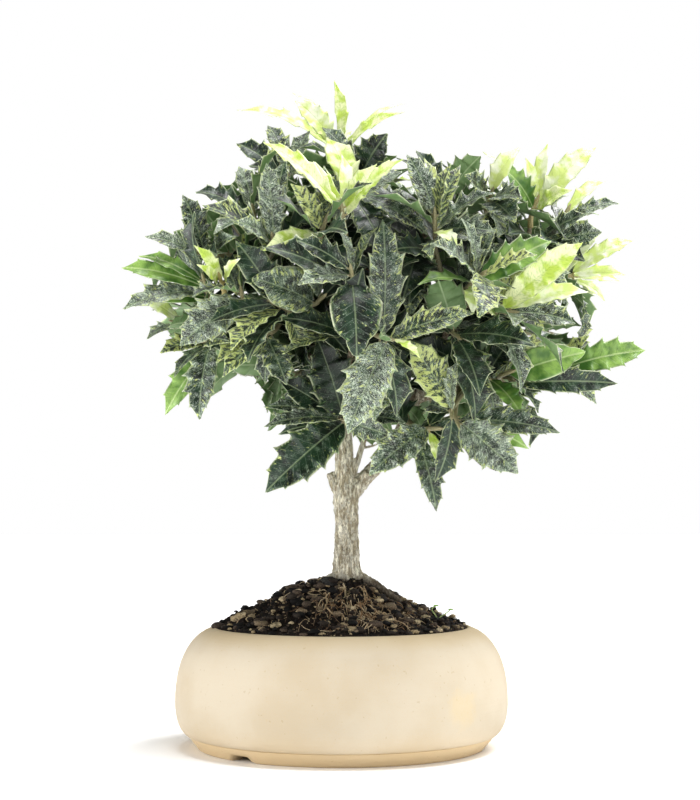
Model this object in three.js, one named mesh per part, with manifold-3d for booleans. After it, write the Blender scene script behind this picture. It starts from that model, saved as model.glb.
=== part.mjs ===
// A variegated, holly-leaved osmanthus grown as a bonsai, in its round unglazed pot.
// Millimetres, +Z up. The origin is on the pot's axis at ground level, and the front faces -Y.

import * as THREE from "three";
import { mergeVertices } from "three/addons/utils/BufferGeometryUtils.js";
import Module from "manifold-3d";

const wasm = await Module();
wasm.setup();

// Driving dimensions
const clearance = 0.3;
const roundSides = 32;
const limbSides = 5;
const trunkSides = 9;

const potRadius = 100;
const potHeight = 71.9;
const bellyHeight = 28;
const footRadius = 86.8;
const footInnerRadius = 76;
const footHeight = 7;
const footStep = 1.5;
const undersideRecess = 2.5;
const rimRadius = 72;
const wallThickness = 8;
const floorThickness = 7.5;
const floorTop = undersideRecess + floorThickness;
const floorRadius = 78;
const lipHeight = potHeight - 5;
const rimRound = 1.4;
const wallPower = 2.2;
const drainSpacing = 76;
const drainRadius = 9;
const notchHeight = 3.5;
const notchWidth = 20;
const notchAngles = [-129, -9, 111];

const drainMeshSize = 26;
const drainMeshThickness = 1;
const drainMeshOpening = 5.4;

const soilTop = 100;
const soilRim = 72;
const clodCount = 12;

const bladeRibThickness = 1.3;
const bladeFold = 0.22;
const bladeWave = 0.05;
const listedArch = 0.07;
const addedArch = 0.08;
const leafRoom = 1.3;
const stemRoom = 0.7;
const placesTried = 24;
const leastLength = 31;
const leastYoungLength = 23;
const petioleReach = 1.4;
const petioleHalfWidth = 0.6;
const petioleHalfDepth = 0.5;
const branchRadius = 2;
const awayPull = 0.75;
const outwardPull = 0.3;
const upPull = 0.15;
const leafyShare = 0.6;
const bowPlace = 0.55;
const bowSag = 0.06;
const seatRadius = 1.8;
const seatMargin = 0.15;
const seatLength = 6;
const bowRadius = 1.7;
const twigRadius = 1.5;
const twigTipRadius = 1.15;
const budRadius = 0.3;
const budLength = 3.5;
const twigSides = 4;
const nodeLength = 4.5;
const leavesPerNode = 2.3;
const nodesPerTurn = 1.5;
const nodeCost = 0.25;

// The viewing point that the places of the visible leaves are given from
const viewDistance = 1130;
const viewHeight = 162;
const towardsViewer = new THREE.Vector3(0, -1, 0);
const up = new THREE.Vector3(0, 0, 1);

// The tips of the shoots lie on a rounded crown
const crownCentre = new THREE.Vector3(18, 0, 268);
const crownHalfSize = new THREE.Vector3(118, 88, 76);

// The shoots that no list gives: their number, and the band of the crown that they cover,
// in degrees round from the right and in shares of the crown's half height
const hiddenCount = 15;
const hiddenFrom = 8;
const hiddenSweep = 164;
const hiddenLow = -0.82;
const hiddenHigh = 0.86;
const goldenTurn = 0.618034;
const goldenAngle = 2.39996;

const colours = {
  pot: 0xe8d7b8,
  soil: 0x3a2e24,
  drain: 0x2c2c2e,
  bark: 0xa59a86,
  mottled: 0x5f7560,
  young: 0xc9d98a,
};

// A repeatable series of numbers from 0 to 1
function seededSeries(seed) {
  let state = seed;
  return () => {
    state = (state * 1664525 + 1013904223) % 4294967296;
    return state / 4294967296;
  };
}

// Solids from geometry, and geometry from solids
function signedVolume(positions, triangles) {
  const corners = [new THREE.Vector3(), new THREE.Vector3(), new THREE.Vector3()];
  let volume = 0;
  for (let t = 0; t < triangles.length; t += 3) {
    corners.forEach((corner, k) => corner.fromArray(positions, 3 * triangles[t + k]));
    volume += corners[0].dot(corners[1].clone().cross(corners[2])) / 6;
  }
  return volume;
}

function solidOf(geometry) {
  geometry.deleteAttribute("normal");
  geometry.deleteAttribute("uv");
  const merged = mergeVertices(geometry, 1e-4);
  const positions = Float32Array.from(merged.attributes.position.array);
  const corners = merged.index.array;
  const triangles = [];
  for (let t = 0; t < corners.length; t += 3) {
    const [a, b, c] = [corners[t], corners[t + 1], corners[t + 2]];
    if (a !== b && b !== c && c !== a) {
      triangles.push(a, b, c);
    }
  }
  if (signedVolume(positions, triangles) < 0) {
    for (let t = 0; t < triangles.length; t += 3) {
      [triangles[t], triangles[t + 1]] = [triangles[t + 1], triangles[t]];
    }
  }
  const triVerts = Uint32Array.from(triangles);
  return new wasm.Manifold(new wasm.Mesh({ numProp: 3, vertProperties: positions, triVerts }));
}

function geometryOf(solid) {
  const mesh = solid.getMesh();
  const geometry = new THREE.BufferGeometry();
  geometry.setAttribute("position", new THREE.BufferAttribute(Float32Array.from(mesh.vertProperties), 3));
  geometry.setIndex(new THREE.BufferAttribute(Uint32Array.from(mesh.triVerts), 1));
  geometry.computeVertexNormals();
  return geometry;
}

function facesOf(solid) {
  const mesh = solid.getMesh();
  const corner = (number) => new THREE.Vector3().fromArray(mesh.vertProperties, 3 * number);
  const faces = [];
  for (let t = 0; t < mesh.triVerts.length; t += 3) {
    faces.push([...mesh.triVerts.slice(t, t + 3)].map(corner));
  }
  return faces;
}

function joined(solids) {
  return solids.reduce((whole, next) => whole.add(next));
}

// The largest body of a solid: scraps that a cut leaves loose are dropped
function largestBody(solid) {
  const bodies = solid.decompose();
  return bodies.reduce((best, next) => (next.volume() > best.volume() ? next : best));
}

function boxSolid(width, depth, height, x, y, z, turn = 0) {
  const geometry = new THREE.BoxGeometry(width, depth, height);
  geometry.translate(x, y, z);
  geometry.rotateZ(turn);
  return solidOf(geometry);
}

function latheSolid(profile) {
  const points = profile.map(([radius, height]) => new THREE.Vector2(radius, height));
  return solidOf(new THREE.LatheGeometry(points, roundSides).rotateX(Math.PI / 2));
}

// A round tapered stem along a curve, with flat ends, or a pointed tip where the last radius is zero
function stemSolid(points, radii, sides, steps) {
  const curve = new THREE.CatmullRomCurve3(points, false, "centripetal");
  const frames = curve.computeFrenetFrames(steps, false);
  const positions = [];
  for (let i = 0; i <= steps; i += 1) {
    const share = i / steps;
    const centre = curve.getPoint(share);
    const radius = radiusAlong(radii, share);
    for (let j = 0; j < sides; j += 1) {
      const angle = (2 * Math.PI * j) / sides;
      const corner = centre
        .clone()
        .addScaledVector(frames.normals[i], radius * Math.cos(angle))
        .addScaledVector(frames.binormals[i], radius * Math.sin(angle));
      positions.push(...corner.toArray());
    }
  }
  const first = positions.length / 3;
  positions.push(...curve.getPoint(0).toArray(), ...curve.getPoint(1).toArray());
  const triangles = [];
  for (let i = 0; i < steps; i += 1) {
    for (let j = 0; j < sides; j += 1) {
      const next = (j + 1) % sides;
      const [a, b] = [i * sides + j, i * sides + next];
      triangles.push(a, b, a + sides, b, b + sides, a + sides);
    }
  }
  for (let j = 0; j < sides; j += 1) {
    const next = (j + 1) % sides;
    triangles.push(first, next, j, first + 1, steps * sides + j, steps * sides + next);
  }
  const geometry = new THREE.BufferGeometry();
  geometry.setAttribute("position", new THREE.Float32BufferAttribute(positions, 3));
  geometry.setIndex(triangles);
  return solidOf(geometry);
}

function radiusAlong(radii, share) {
  const place = share * (radii.length - 1);
  const index = Math.min(Math.floor(place), radii.length - 2);
  return THREE.MathUtils.lerp(radii[index], radii[index + 1], place - index);
}

// The pot: a bulging body on a low foot, with an in-curved rim and two drain holes.
// Above and below its belly the walls are quarters of a squared circle.
function squaredCircle(share, power) {
  return Math.pow(Math.max(0, 1 - Math.pow(share, power)), 1 / power);
}

function potOuterRadius(height) {
  if (height <= bellyHeight) {
    const start = footRadius + footStep;
    const share = (bellyHeight - height) / (bellyHeight - footHeight);
    return start + (potRadius - start) * squaredCircle(share, wallPower);
  }
  const share = (height - bellyHeight) / (potHeight - bellyHeight);
  return rimRadius + (potRadius - rimRadius) * squaredCircle(share, wallPower);
}

function potInnerRadius(height) {
  const widest = potRadius - wallThickness;
  if (height <= bellyHeight) {
    const share = (bellyHeight - height) / (bellyHeight - floorTop);
    return floorRadius + (widest - floorRadius) * squaredCircle(share, wallPower);
  }
  const share = (height - bellyHeight) / (lipHeight - bellyHeight);
  return rimRadius - 1 + (widest - rimRadius + 1) * squaredCircle(share, wallPower);
}

function innerWall() {
  const heights = [lipHeight, 60, 46, 28, 16, floorTop];
  return heights.map((height) => [potInnerRadius(height), height]);
}

function drainHoles(radius) {
  return [-1, 1].map((side) => {
    const hole = new THREE.CylinderGeometry(radius, radius, 40, 16).rotateX(Math.PI / 2);
    hole.translate((side * drainSpacing) / 2, 0, 0);
    return solidOf(hole);
  });
}

function makePot() {
  const outerHeights = [footHeight + 0.6, 10, 15, 28, 40, 51, 60, 67, 70.7];
  const profile = [
    [0, undersideRecess],
    [footInnerRadius, undersideRecess],
    [footInnerRadius + 2, 0],
    [footRadius, 0],
    [footRadius, footHeight],
    ...outerHeights.map((height) => [potOuterRadius(height), height]),
    [rimRadius, potHeight],
    [rimRadius - rimRound, potHeight - rimRound],
    ...innerWall(),
    [0, floorTop],
  ];
  const notches = notchAngles.map((angle) => {
    const turn = THREE.MathUtils.degToRad(angle);
    return boxSolid(30, notchWidth, 2 * notchHeight, footRadius - 2, 0, 0, turn);
  });
  return latheSolid(profile).subtract(joined([...drainHoles(drainRadius), ...notches]));
}

// A square of plastic net that keeps the soil off a drain hole
function makeDrainMesh(side) {
  const height = floorTop + clearance + drainMeshThickness / 2;
  const x = (side * drainSpacing) / 2;
  const plate = boxSolid(drainMeshSize, drainMeshSize, drainMeshThickness, x, 0, height);
  const openings = [];
  for (const column of [-1, 0, 1]) {
    for (const row of [-1, 0, 1]) {
      const step = drainMeshOpening + 2;
      openings.push(
        boxSolid(drainMeshOpening, drainMeshOpening, 4, x + column * step, row * step, height),
      );
    }
  }
  return plate.subtract(joined(openings));
}

// The soil fills the pot and is heaped up round the trunk
function moundHeight(radius) {
  const share = Math.min(1, Math.max(0, (radius - 14) / (rimRadius - 14)));
  return soilRim + (soilTop - soilRim) * (1 - Math.pow(share, 0.78));
}

function soilRelief(x, y) {
  return 1.1 * Math.sin(0.21 * x + 1.3) * Math.cos(0.27 * y) + 0.7 * Math.sin(0.5 * x - 0.4 * y);
}

function makeSoil() {
  const wall = innerWall().map(([radius, height]) => [radius - clearance, height]);
  const floor = floorTop + clearance;
  const profile = [
    [0, floor],
    [wall[wall.length - 1][0], floor],
    ...wall.slice(0, -1).reverse(),
    [rimRadius - rimRound - clearance, potHeight - 2],
    [66, moundHeight(66)],
    [54, moundHeight(54)],
    [38, moundHeight(38)],
    [20, moundHeight(20)],
    [0, soilTop],
  ];
  const points = profile.map(([radius, height]) => new THREE.Vector2(radius, height));
  const heap = new THREE.LatheGeometry(points, roundSides).rotateX(Math.PI / 2);
  const place = heap.attributes.position;
  for (let i = 0; i < place.count; i += 1) {
    if (place.getZ(i) > potHeight) {
      place.setZ(i, place.getZ(i) + soilRelief(place.getX(i), place.getY(i)));
    }
  }
  const netRoom = [-1, 1].map((side) =>
    boxSolid(
      drainMeshSize + 2 * clearance,
      drainMeshSize + 2 * clearance,
      2 * (drainMeshThickness + clearance),
      (side * drainSpacing) / 2,
      0,
      floor,
    ),
  );
  return joined([solidOf(heap), ...soilClods()]).subtract(joined(netRoom));
}

function soilClods() {
  const draw = seededSeries(41);
  const clods = [];
  for (let i = 0; i < clodCount; i += 1) {
    const angle = i * goldenAngle + 0.5 * draw();
    const radius = 22 + 42 * Math.sqrt((i + 0.5) / clodCount);
    const size = 2.6 + 2.4 * draw();
    const clod = new THREE.IcosahedronGeometry(size, 0);
    clod.scale(1, 0.8 + 0.4 * draw(), 0.75);
    clod.rotateZ(6 * draw());
    const [x, y] = [radius * Math.cos(angle), radius * Math.sin(angle)];
    clod.translate(x, y, moundHeight(radius) + soilRelief(x, y) + 0.2 * size);
    clods.push(solidOf(clod));
  }
  return clods;
}

// The woody frame: each limb is a list of [x, y, z, radius] from its root to its end
const limbs = {
  trunk: [
    [4, 0, 84, 12.5], [3.6, 0, 97, 10.6], [3, 0, 108, 8.4], [3, 0, 130, 6.9], [2.8, 0, 148, 7.6],
    [2.4, 0, 158, 6.6],
  ],
  leader: [
    [2.2, 0, 150, 6.4], [1.6, 0, 180, 5.4], [0.6, 3, 204, 4.8], [-4, 8, 235, 4.2], [-6, 6, 270, 3.4],
    [-7, 2, 300, 2.7], [-5, 2, 328, 2.0],
  ],
  rightLimb: [
    [4, 0, 149, 5.4], [13, 1, 160, 4.9], [23, 3, 170, 4.6], [36, 6, 189, 4.3], [46, 8, 211, 3.9],
    [60, 6, 228, 3.4], [80, 0, 247, 2.8], [98, -5, 253, 2.2],
  ],
  lowRight: [
    [45, 8, 208, 2.6], [58, 5, 213, 2.4], [72, -2, 216, 2.2], [88, -9, 219, 1.9], [103, -12, 221, 1.7],
    [122, -12, 226, 1.5],
  ],
  farRight: [[72, 3, 239, 2.6], [95, 4, 262, 2.2], [116, 6, 284, 1.9], [130, 8, 304, 1.6]],
  farRightFork: [[93, 4, 260, 2.3], [104, -2, 280, 2.0], [112, -6, 300, 1.7], [114, -10, 314, 1.5]],
  left: [[-3, 7, 226, 3.2], [-28, 6, 239, 2.7], [-55, -2, 244, 2.2], [-75, -8, 248, 1.9], [-93, -8, 253, 1.5]],
  upperLeft: [[-5, 7, 250, 2.8], [-28, 4, 268, 2.4], [-50, -4, 288, 2.0], [-60, -6, 306, 1.6]],
  upperRight: [[-6, 5, 266, 3.0], [16, 8, 288, 2.5], [38, 8, 304, 2.1], [62, 2, 314, 1.9], [92, 0, 320, 1.6]],
  backLeft: [[-2, 6, 216, 3.0], [-18, 30, 236, 2.5], [-38, 52, 254, 2.0], [-48, 60, 272, 1.5]],
  backRight: [[44, 8, 206, 3.0], [54, 32, 228, 2.5], [70, 52, 248, 2.0], [78, 60, 268, 1.5]],
  backTop: [[-6, 5, 276, 2.7], [4, 28, 294, 2.2], [14, 48, 310, 1.6]],
  frontMiddle: [[0, 3, 206, 2.6], [4, -22, 226, 2.2], [8, -46, 246, 1.9], [8, -62, 262, 1.5]],
  frontRight: [[56, 7, 224, 2.6], [60, -16, 240, 2.2], [66, -40, 258, 1.9], [72, -54, 270, 1.5]],
  frontLeft: [[-24, 6, 237, 2.4], [-32, -18, 250, 2.1], [-42, -42, 262, 1.5]],
};

// What was pruned or died back, and the roots that show on the soil
const snags = {
  prunedStub: [[0, 0, 150, 4.2], [-4.5, -1, 158, 3.6], [-7, -1, 164, 2.6]],
  deadTwig: [[7, 0, 163, 2.3], [11, -1, 176, 2.0], [16, -2, 191, 1.6]],
  deadSideTwig: [[12, -1, 179, 1.1], [19, -2, 180.5, 0.75], [24, -2, 182.5, 0.6]],
  limbScar: [[14, 0, 158, 3.2], [16, -4.5, 165, 2.8]],
  rightRoot: [[6, -2, 104, 4.4], [14, -5, 100, 3.4], [24, -8, 95, 2.4], [36, -12, 87, 1.5]],
  leftRoot: [[0, -2, 103, 4.6], [-8, -4, 99, 3.6], [-16, -6, 96, 2.4]],
  backRoot: [[4, 4, 103, 4.4], [6, 14, 98, 3.0], [4, 24, 94, 2.0]],
};

function pathOf(limb) {
  return limb.map(([x, y, z]) => new THREE.Vector3(x, y, z));
}

// A limb, or the room that it takes up when it is grown by a clearance
function limbSolid(limb, sides, grown) {
  const points = pathOf(limb);
  const [before, last] = points.slice(-2);
  last.add(last.clone().sub(before).setLength(grown));
  const radii = limb.map((place) => place[3] + grown);
  return stemSolid(points, radii, sides, limb.length - 1);
}

// Places along the living limbs that shoots can grow from
function growingPlaces() {
  const found = [];
  for (const limb of Object.values(limbs).slice(1)) {
    const points = pathOf(limb);
    for (let share = 0.1; share <= 1.001; share += 0.075) {
      const at = Math.min(1, share) * (points.length - 1);
      const index = Math.min(Math.floor(at), points.length - 2);
      const point = points[index].clone().lerp(points[index + 1], at - index);
      const radius = THREE.MathUtils.lerp(limb[index][3], limb[index + 1][3], at - index);
      found.push({ point, radius });
    }
  }
  return found;
}

// Leaf outlines: [distance along the midrib, half-width] in shares of the length and half breadth
const leafForms = {
  spiny: {
    margin: [[0.2, 0.6], [0.36, 0.97], [0.41, 0.7], [0.59, 1], [0.64, 0.62], [0.8, 0.66]],
    rib: [0.4, 0.7],
  },
  broad: {
    margin: [
      [0.16, 0.62], [0.27, 0.9], [0.32, 0.7], [0.47, 1], [0.52, 0.72], [0.67, 0.9], [0.71, 0.5], [0.85, 0.5],
    ],
    rib: [0.35, 0.68],
  },
  slim: {
    margin: [[0.22, 0.66], [0.44, 1], [0.49, 0.72], [0.71, 0.8]],
    rib: [0.5],
  },
  entire: {
    margin: [[0.16, 0.68], [0.38, 1], [0.64, 0.86], [0.84, 0.42]],
    rib: [0.35, 0.7],
  },
};

// The visible shoots. Each has its tip's place as seen at [x, z] and its depth y, and its leaves:
// [tip x, tip z, how far the tip leans towards the viewer, breadth, face, form, tone].
// Face is the roll in degrees: 0 shows the upper side, 90 turns it up, and 180 shows the underside.
const shoots = [
  { name: "heart", tip: [6, 289, -88], leaves: [
    [10, 236, 6, 30, 8, "entire", "dark"], [-23, 281, 6, 16, 35, "spiny", "grey"],
    [-1, 314, -6, 9, 50, "slim", "grey"], [14, 319, -8, 10, 50, "slim", "gold"]] },
  { name: "centre_right", tip: [31, 245, -84], leaves: [
    [26, 319, 2, 22, 12, "broad", "grey"], [80, 263, 8, 18, 25, "broad", "gold"],
    [4, 189, 8, 29, 8, "broad", "grey"], [10, 252, 6, 11, 45, "slim", "gold"],
    [42, 240, 8, 8, 40, "slim", "young"]] },
  { name: "centre_left", tip: [6, 248, -62], leaves: [
    [-36, 238, 6, 13, 50, "spiny", "gold"], [-37, 259, 4, 17, 30, "spiny", "dark"],
    [24, 262, -4, 14, 40, "slim", "dark"]] },
  { name: "rosette_low", tip: [0, 197, -26], leaves: [
    [-14, 245, 12, 30, 8, "broad", "dark"], [-37, 221, 4, 22, 20, "spiny", "dark"],
    [-51, 193, 12, 14, 40, "spiny", "grey"], [-47, 206, -8, 12, 40, "spiny", "grey"],
    [-46, 153, 12, 30, 10, "broad", "dark"], [39, 196, 6, 17, 45, "spiny", "grey"],
    [-39, 189, -8, 16, 30, "slim", "dark"]] },
  { name: "low_hanging", tip: [60, 191, -40], leaves: [
    [17, 164, 10, 24, 15, "broad", "grey"], [61, 168, -6, 10, 20, "slim", "young"],
    [66, 205, -6, 14, 40, "slim", "dark"]] },
  { name: "low_pendant", tip: [49, 187, -14], leaves: [
    [58, 141, 0, 16, 15, "broad", "grey"], [53, 172, -8, 9, 20, "slim", "young"]] },
  { name: "low_middle", tip: [67, 198, -58], leaves: [
    [41, 245, 8, 24, 10, "spiny", "gold"], [70, 232, 0, 13, 50, "spiny", "grey"],
    [52, 206, -8, 14, 20, "spiny", "grey"]] },
  { name: "low_right", tip: [71, 193, -46], leaves: [
    [133, 190, 4, 19, 25, "broad", "grey"], [108, 163, 10, 28, 5, "broad", "grey"],
    [115, 179, -22, 14, 15, "slim", "green"]] },
  { name: "junction", tip: [90, 221, -26], leaves: [
    [118, 202, 2, 15, 30, "spiny", "green"], [43, 246, 16, 22, 20, "spiny", "dark"],
    [106, 249, -6, 17, 20, "spiny", "dark"], [79, 203, -8, 13, 20, "slim", "young"],
    [92, 196, -14, 14, 20, "slim", "grey"]] },
  { name: "lance", tip: [106, 218, -20], leaves: [
    [168, 219, 2, 17, 12, "spiny", "dark"], [138, 240, -12, 14, 30, "slim", "dark"]] },
  { name: "fresh_green", tip: [104, 226, -34], leaves: [
    [148, 238, 4, 21, 5, "entire", "green"], [86, 247, 4, 16, 30, "slim", "grey"]] },
  { name: "far_low", tip: [141, 227, -12], leaves: [
    [185, 232, 0, 20, 15, "broad", "green"], [150, 248, 4, 12, 40, "slim", "gold"],
    [156, 206, -10, 12, 30, "slim", "grey"]] },
  { name: "right_middle", tip: [87, 286, -74], leaves: [
    [75, 320, 2, 13, 50, "spiny", "grey"], [128, 306, -4, 21, 15, "broad", "green"],
    [119, 298, 8, 14, 50, "spiny", "gold"], [80, 262, 14, 13, 10, "slim", "pale"],
    [47, 281, 10, 13, 60, "slim", "green"], [94, 316, -14, 13, 40, "slim", "grey"]] },
  { name: "bright", tip: [105, 262, -58], leaves: [
    [147, 305, 4, 21, 12, "broad", "young"], [150, 277, 4, 16, 35, "spiny", "pale"],
    [82, 267, 12, 14, 25, "slim", "young"], [143, 256, -4, 19, 30, "spiny", "grey"],
    [137, 281, -14, 9, 40, "slim", "gold"]] },
  { name: "underside", tip: [72, 246, -62], leaves: [
    [63, 286, 8, 27, 170, "broad", "green"], [50, 262, -4, 15, 40, "spiny", "dark"]] },
  { name: "right_shoulder", tip: [125, 306, -20], leaves: [
    [158, 311, 14, 22, 5, "spiny", "grey"], [148, 294, 16, 16, 15, "spiny", "dark"],
    [152, 323, 6, 14, 35, "spiny", "grey"], [134, 268, 4, 18, 20, "spiny", "grey"]] },
  { name: "right_top", tip: [120, 332, -14], leaves: [
    [87, 361, 4, 10, 55, "slim", "pale"], [113, 357, 4, 9, 25, "slim", "pale"],
    [125, 366, -4, 11, 30, "slim", "pale"], [154, 363, 2, 19, 25, "broad", "pale"],
    [141, 339, 12, 14, 40, "slim", "young"], [97, 352, 12, 18, 35, "broad", "green"]] },
  { name: "right_grey_tip", tip: [138, 325, 4], leaves: [
    [169, 330, 0, 13, 45, "spiny", "grey"], [160, 345, -8, 12, 40, "slim", "pale"],
    [157, 322, -10, 11, 50, "slim", "grey"]] },
  { name: "right_pale", tip: [143, 284, 8], leaves: [
    [177, 308, 0, 14, 30, "broad", "pale"], [173, 291, 4, 11, 35, "slim", "pale"],
    [161, 270, 4, 10, 45, "slim", "pale"], [156, 312, -8, 11, 30, "slim", "pale"],
    [170, 282, -12, 11, 30, "slim", "pale"]] },
  { name: "crown_arch", tip: [9, 337, -50], leaves: [
    [53, 310, 10, 16, 40, "broad", "grey"], [27, 298, 18, 24, 20, "spiny", "dark"],
    [37, 351, -8, 19, 40, "spiny", "grey"], [-28, 349, -4, 17, 35, "spiny", "gold"]] },
  { name: "crown_front", tip: [0, 328, -64], leaves: [
    [-47, 367, 6, 17, 45, "broad", "young"], [-23, 363, -4, 14, 30, "slim", "young"],
    [35, 358, 6, 15, 40, "broad", "young"], [20, 353, 14, 12, 30, "slim", "young"],
    [2, 366, -4, 11, 25, "slim", "pale"]] },
  { name: "crown_back", tip: [-3, 368, 8], leaves: [
    [-28, 392, 4, 18, 25, "broad", "pale"], [-62, 392, -6, 14, 50, "spiny", "pale"],
    [-29, 398, -10, 9, 55, "slim", "pale"], [-4, 404, 4, 11, 30, "slim", "young"],
    [37, 387, 4, 12, 45, "slim", "young"], [35, 395, -12, 9, 55, "slim", "pale"]] },
  { name: "crown_middle", tip: [8, 352, -12], leaves: [
    [24, 374, 6, 22, 15, "broad", "dark"], [-12, 378, -6, 14, 30, "slim", "grey"],
    [30, 345, -8, 16, 35, "spiny", "grey"]] },
  { name: "crown_right", tip: [57, 323, -62], leaves: [
    [41, 359, -2, 17, 20, "broad", "grey"], [52, 361, 4, 12, 30, "spiny", "gold"],
    [61, 360, -2, 12, 20, "spiny", "grey"], [66, 355, 8, 12, 55, "slim", "gold"],
    [93, 312, 8, 18, 40, "broad", "grey"], [71, 304, 12, 12, 40, "slim", "pale"],
    [56, 300, 4, 12, 40, "slim", "gold"]] },
  { name: "crown_right_back", tip: [64, 336, -20], leaves: [
    [74, 358, 6, 22, 150, "broad", "green"], [89, 356, -4, 12, 50, "slim", "grey"],
    [46, 362, -4, 16, 30, "spiny", "dark"], [33, 360, -14, 14, 50, "slim", "dark"]] },
  { name: "right_upper", tip: [92, 336, -40], leaves: [
    [100, 352, 6, 15, 30, "slim", "gold"], [76, 346, 4, 16, 30, "spiny", "grey"],
    [106, 318, 10, 22, 15, "broad", "grey"], [116, 330, 2, 17, 30, "spiny", "grey"]] },
  { name: "cream", tip: [-9, 319, -70], leaves: [
    [-47, 302, 8, 16, 25, "slim", "cream"], [-30, 341, 2, 14, 35, "spiny", "gold"],
    [-14, 346, -4, 12, 30, "slim", "gold"]] },
  { name: "inner_right", tip: [46, 303, -34], more: 8, leaves: [] },
  { name: "left_broad", tip: [-10, 272, -66], leaves: [
    [-57, 277, 6, 27, 18, "entire", "grey"], [-22, 294, 6, 15, 40, "spiny", "grey"],
    [-39, 264, -4, 14, 50, "slim", "dark"]] },
  { name: "left_blue", tip: [-42, 268, -66], leaves: [
    [-52, 240, 8, 28, 8, "broad", "grey"], [-82, 262, -4, 16, 35, "spiny", "dark"],
    [-26, 252, -6, 15, 30, "slim", "gold"]] },
  { name: "left_skirt", tip: [-50, 247, -46], leaves: [
    [-33, 218, 6, 19, 8, "spiny", "grey"], [-47, 218, -4, 14, 20, "slim", "grey"],
    [-73, 223, 2, 15, 30, "slim", "gold"], [-66, 232, 6, 14, 40, "slim", "dark"]] },
  { name: "left_middle", tip: [-61, 276, -62], leaves: [
    [-101, 249, 8, 26, 10, "broad", "grey"], [-84, 296, -4, 15, 30, "slim", "grey"]] },
  { name: "left_low", tip: [-84, 244, -30], leaves: [
    [-87, 197, 6, 21, 15, "broad", "grey"], [-108, 200, -6, 17, 15, "spiny", "green"],
    [-110, 238, 4, 14, 30, "spiny", "gold"], [-97, 230, 8, 10, 40, "slim", "grey"]] },
  { name: "left_out", tip: [-102, 256, -14], leaves: [
    [-122, 272, 2, 12, 30, "slim", "pale"], [-118, 247, 4, 11, 40, "slim", "grey"]] },
  { name: "left_far", tip: [-84, 283, -44], leaves: [
    [-133, 265, 4, 18, 40, "broad", "grey"], [-134, 290, -8, 15, 30, "spiny", "green"],
    [-117, 272, -10, 15, 25, "entire", "green"], [-122, 297, -14, 12, 40, "slim", "green"]] },
  { name: "left_upright", tip: [-90, 299, -34], leaves: [
    [-96, 334, 2, 17, 20, "spiny", "grey"], [-109, 307, 4, 13, 35, "slim", "grey"],
    [-66, 309, 8, 14, 40, "slim", "grey"]] },
  { name: "left_yellow", tip: [-74, 284, -66], leaves: [
    [-86, 301, 2, 10, 30, "slim", "young"], [-86, 291, 5, 8, 35, "slim", "young"],
    [-63, 295, 6, 9, 45, "slim", "pale"], [-53, 303, -6, 24, 160, "spiny", "green"]] },
  { name: "left_top", tip: [-54, 326, -46], leaves: [
    [-88, 337, 2, 19, 50, "broad", "dark"], [-62, 352, -4, 16, 25, "spiny", "grey"],
    [-74, 314, 6, 14, 40, "slim", "grey"]] },
  { name: "crown_left", tip: [-42, 309, -70], leaves: [
    [-45, 353, 0, 17, 12, "broad", "grey"], [-35, 358, -4, 14, 20, "spiny", "grey"],
    [-64, 318, 8, 14, 40, "slim", "grey"], [-30, 318, 6, 12, 40, "slim", "gold"]] },
  { name: "crown_left_back", tip: [-36, 350, -8], leaves: [
    [-61, 371, 0, 17, 30, "spiny", "dark"], [-45, 379, -6, 15, 25, "spiny", "grey"],
    [-20, 374, -4, 14, 30, "slim", "grey"], [-56, 352, 4, 15, 40, "slim", "dark"]] },
];

// Ways to bend a leaf until it is clear: [towards or away from the viewer, sideways] in degrees
const bends = [
  [0, 0], [7, 0], [-7, 0], [14, 0], [-14, 0], [7, 9], [7, -9], [-7, 9], [-7, -9], [21, 0], [-21, 0],
  [14, 12], [14, -12], [-14, 12], [-14, -12], [28, 0], [-28, 0], [21, 16], [21, -16], [-21, 16],
  [-21, -16], [36, 0], [-36, 0], [30, 20], [30, -20], [-30, 20], [-30, -20],
];

// The crown's outline as seen, [x, z], which the leaves that no list gives stay inside
const crownOutline = [
  [-102, 236], [-124, 272], [-112, 300], [-95, 318], [-86, 338], [-70, 350], [-48, 366], [-20, 372], [16, 376],
  [25, 360], [60, 356], [110, 350], [140, 335], [155, 318], [160, 268], [150, 250], [162, 234], [150, 212],
  [124, 188], [105, 168], [84, 182], [66, 184], [60, 150], [46, 172], [38, 186], [-10, 188], [-45, 162],
  [-48, 206], [-62, 224], [-76, 222], [-86, 202], [-106, 204],
];

function insideCrown({ x, y, z }) {
  const nearer = (viewDistance + y) / viewDistance;
  const [seenX, seenZ] = [x / nearer, viewHeight + (z - viewHeight) / nearer];
  let inside = false;
  crownOutline.forEach(([x1, z1], k) => {
    const [x2, z2] = crownOutline[(k + 1) % crownOutline.length];
    if (z1 > seenZ !== z2 > seenZ && seenX < x1 + ((x2 - x1) * (seenZ - z1)) / (z2 - z1)) {
      inside = !inside;
    }
  });
  return inside;
}

// The place in space of a point seen at [x, z] on the plane of the pot's axis, at depth y
function seenAt(x, z, y) {
  const nearer = (viewDistance + y) / viewDistance;
  return new THREE.Vector3(x * nearer, y, viewHeight + (z - viewHeight) * nearer);
}

function perpendicular(vector, axis) {
  return vector.clone().addScaledVector(axis, -vector.dot(axis)).normalize();
}

// The upper side's direction for a leaf that runs along `along`, rolled by `face` degrees
function faceNormal(along, outlook, face) {
  const open = perpendicular(outlook, along);
  const side = along.clone().cross(open);
  if (side.z + 0.05 * side.x < 0) {
    side.negate();
  }
  const angle = THREE.MathUtils.degToRad(face);
  return open.multiplyScalar(Math.cos(angle)).addScaledVector(side, Math.sin(angle));
}

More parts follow.
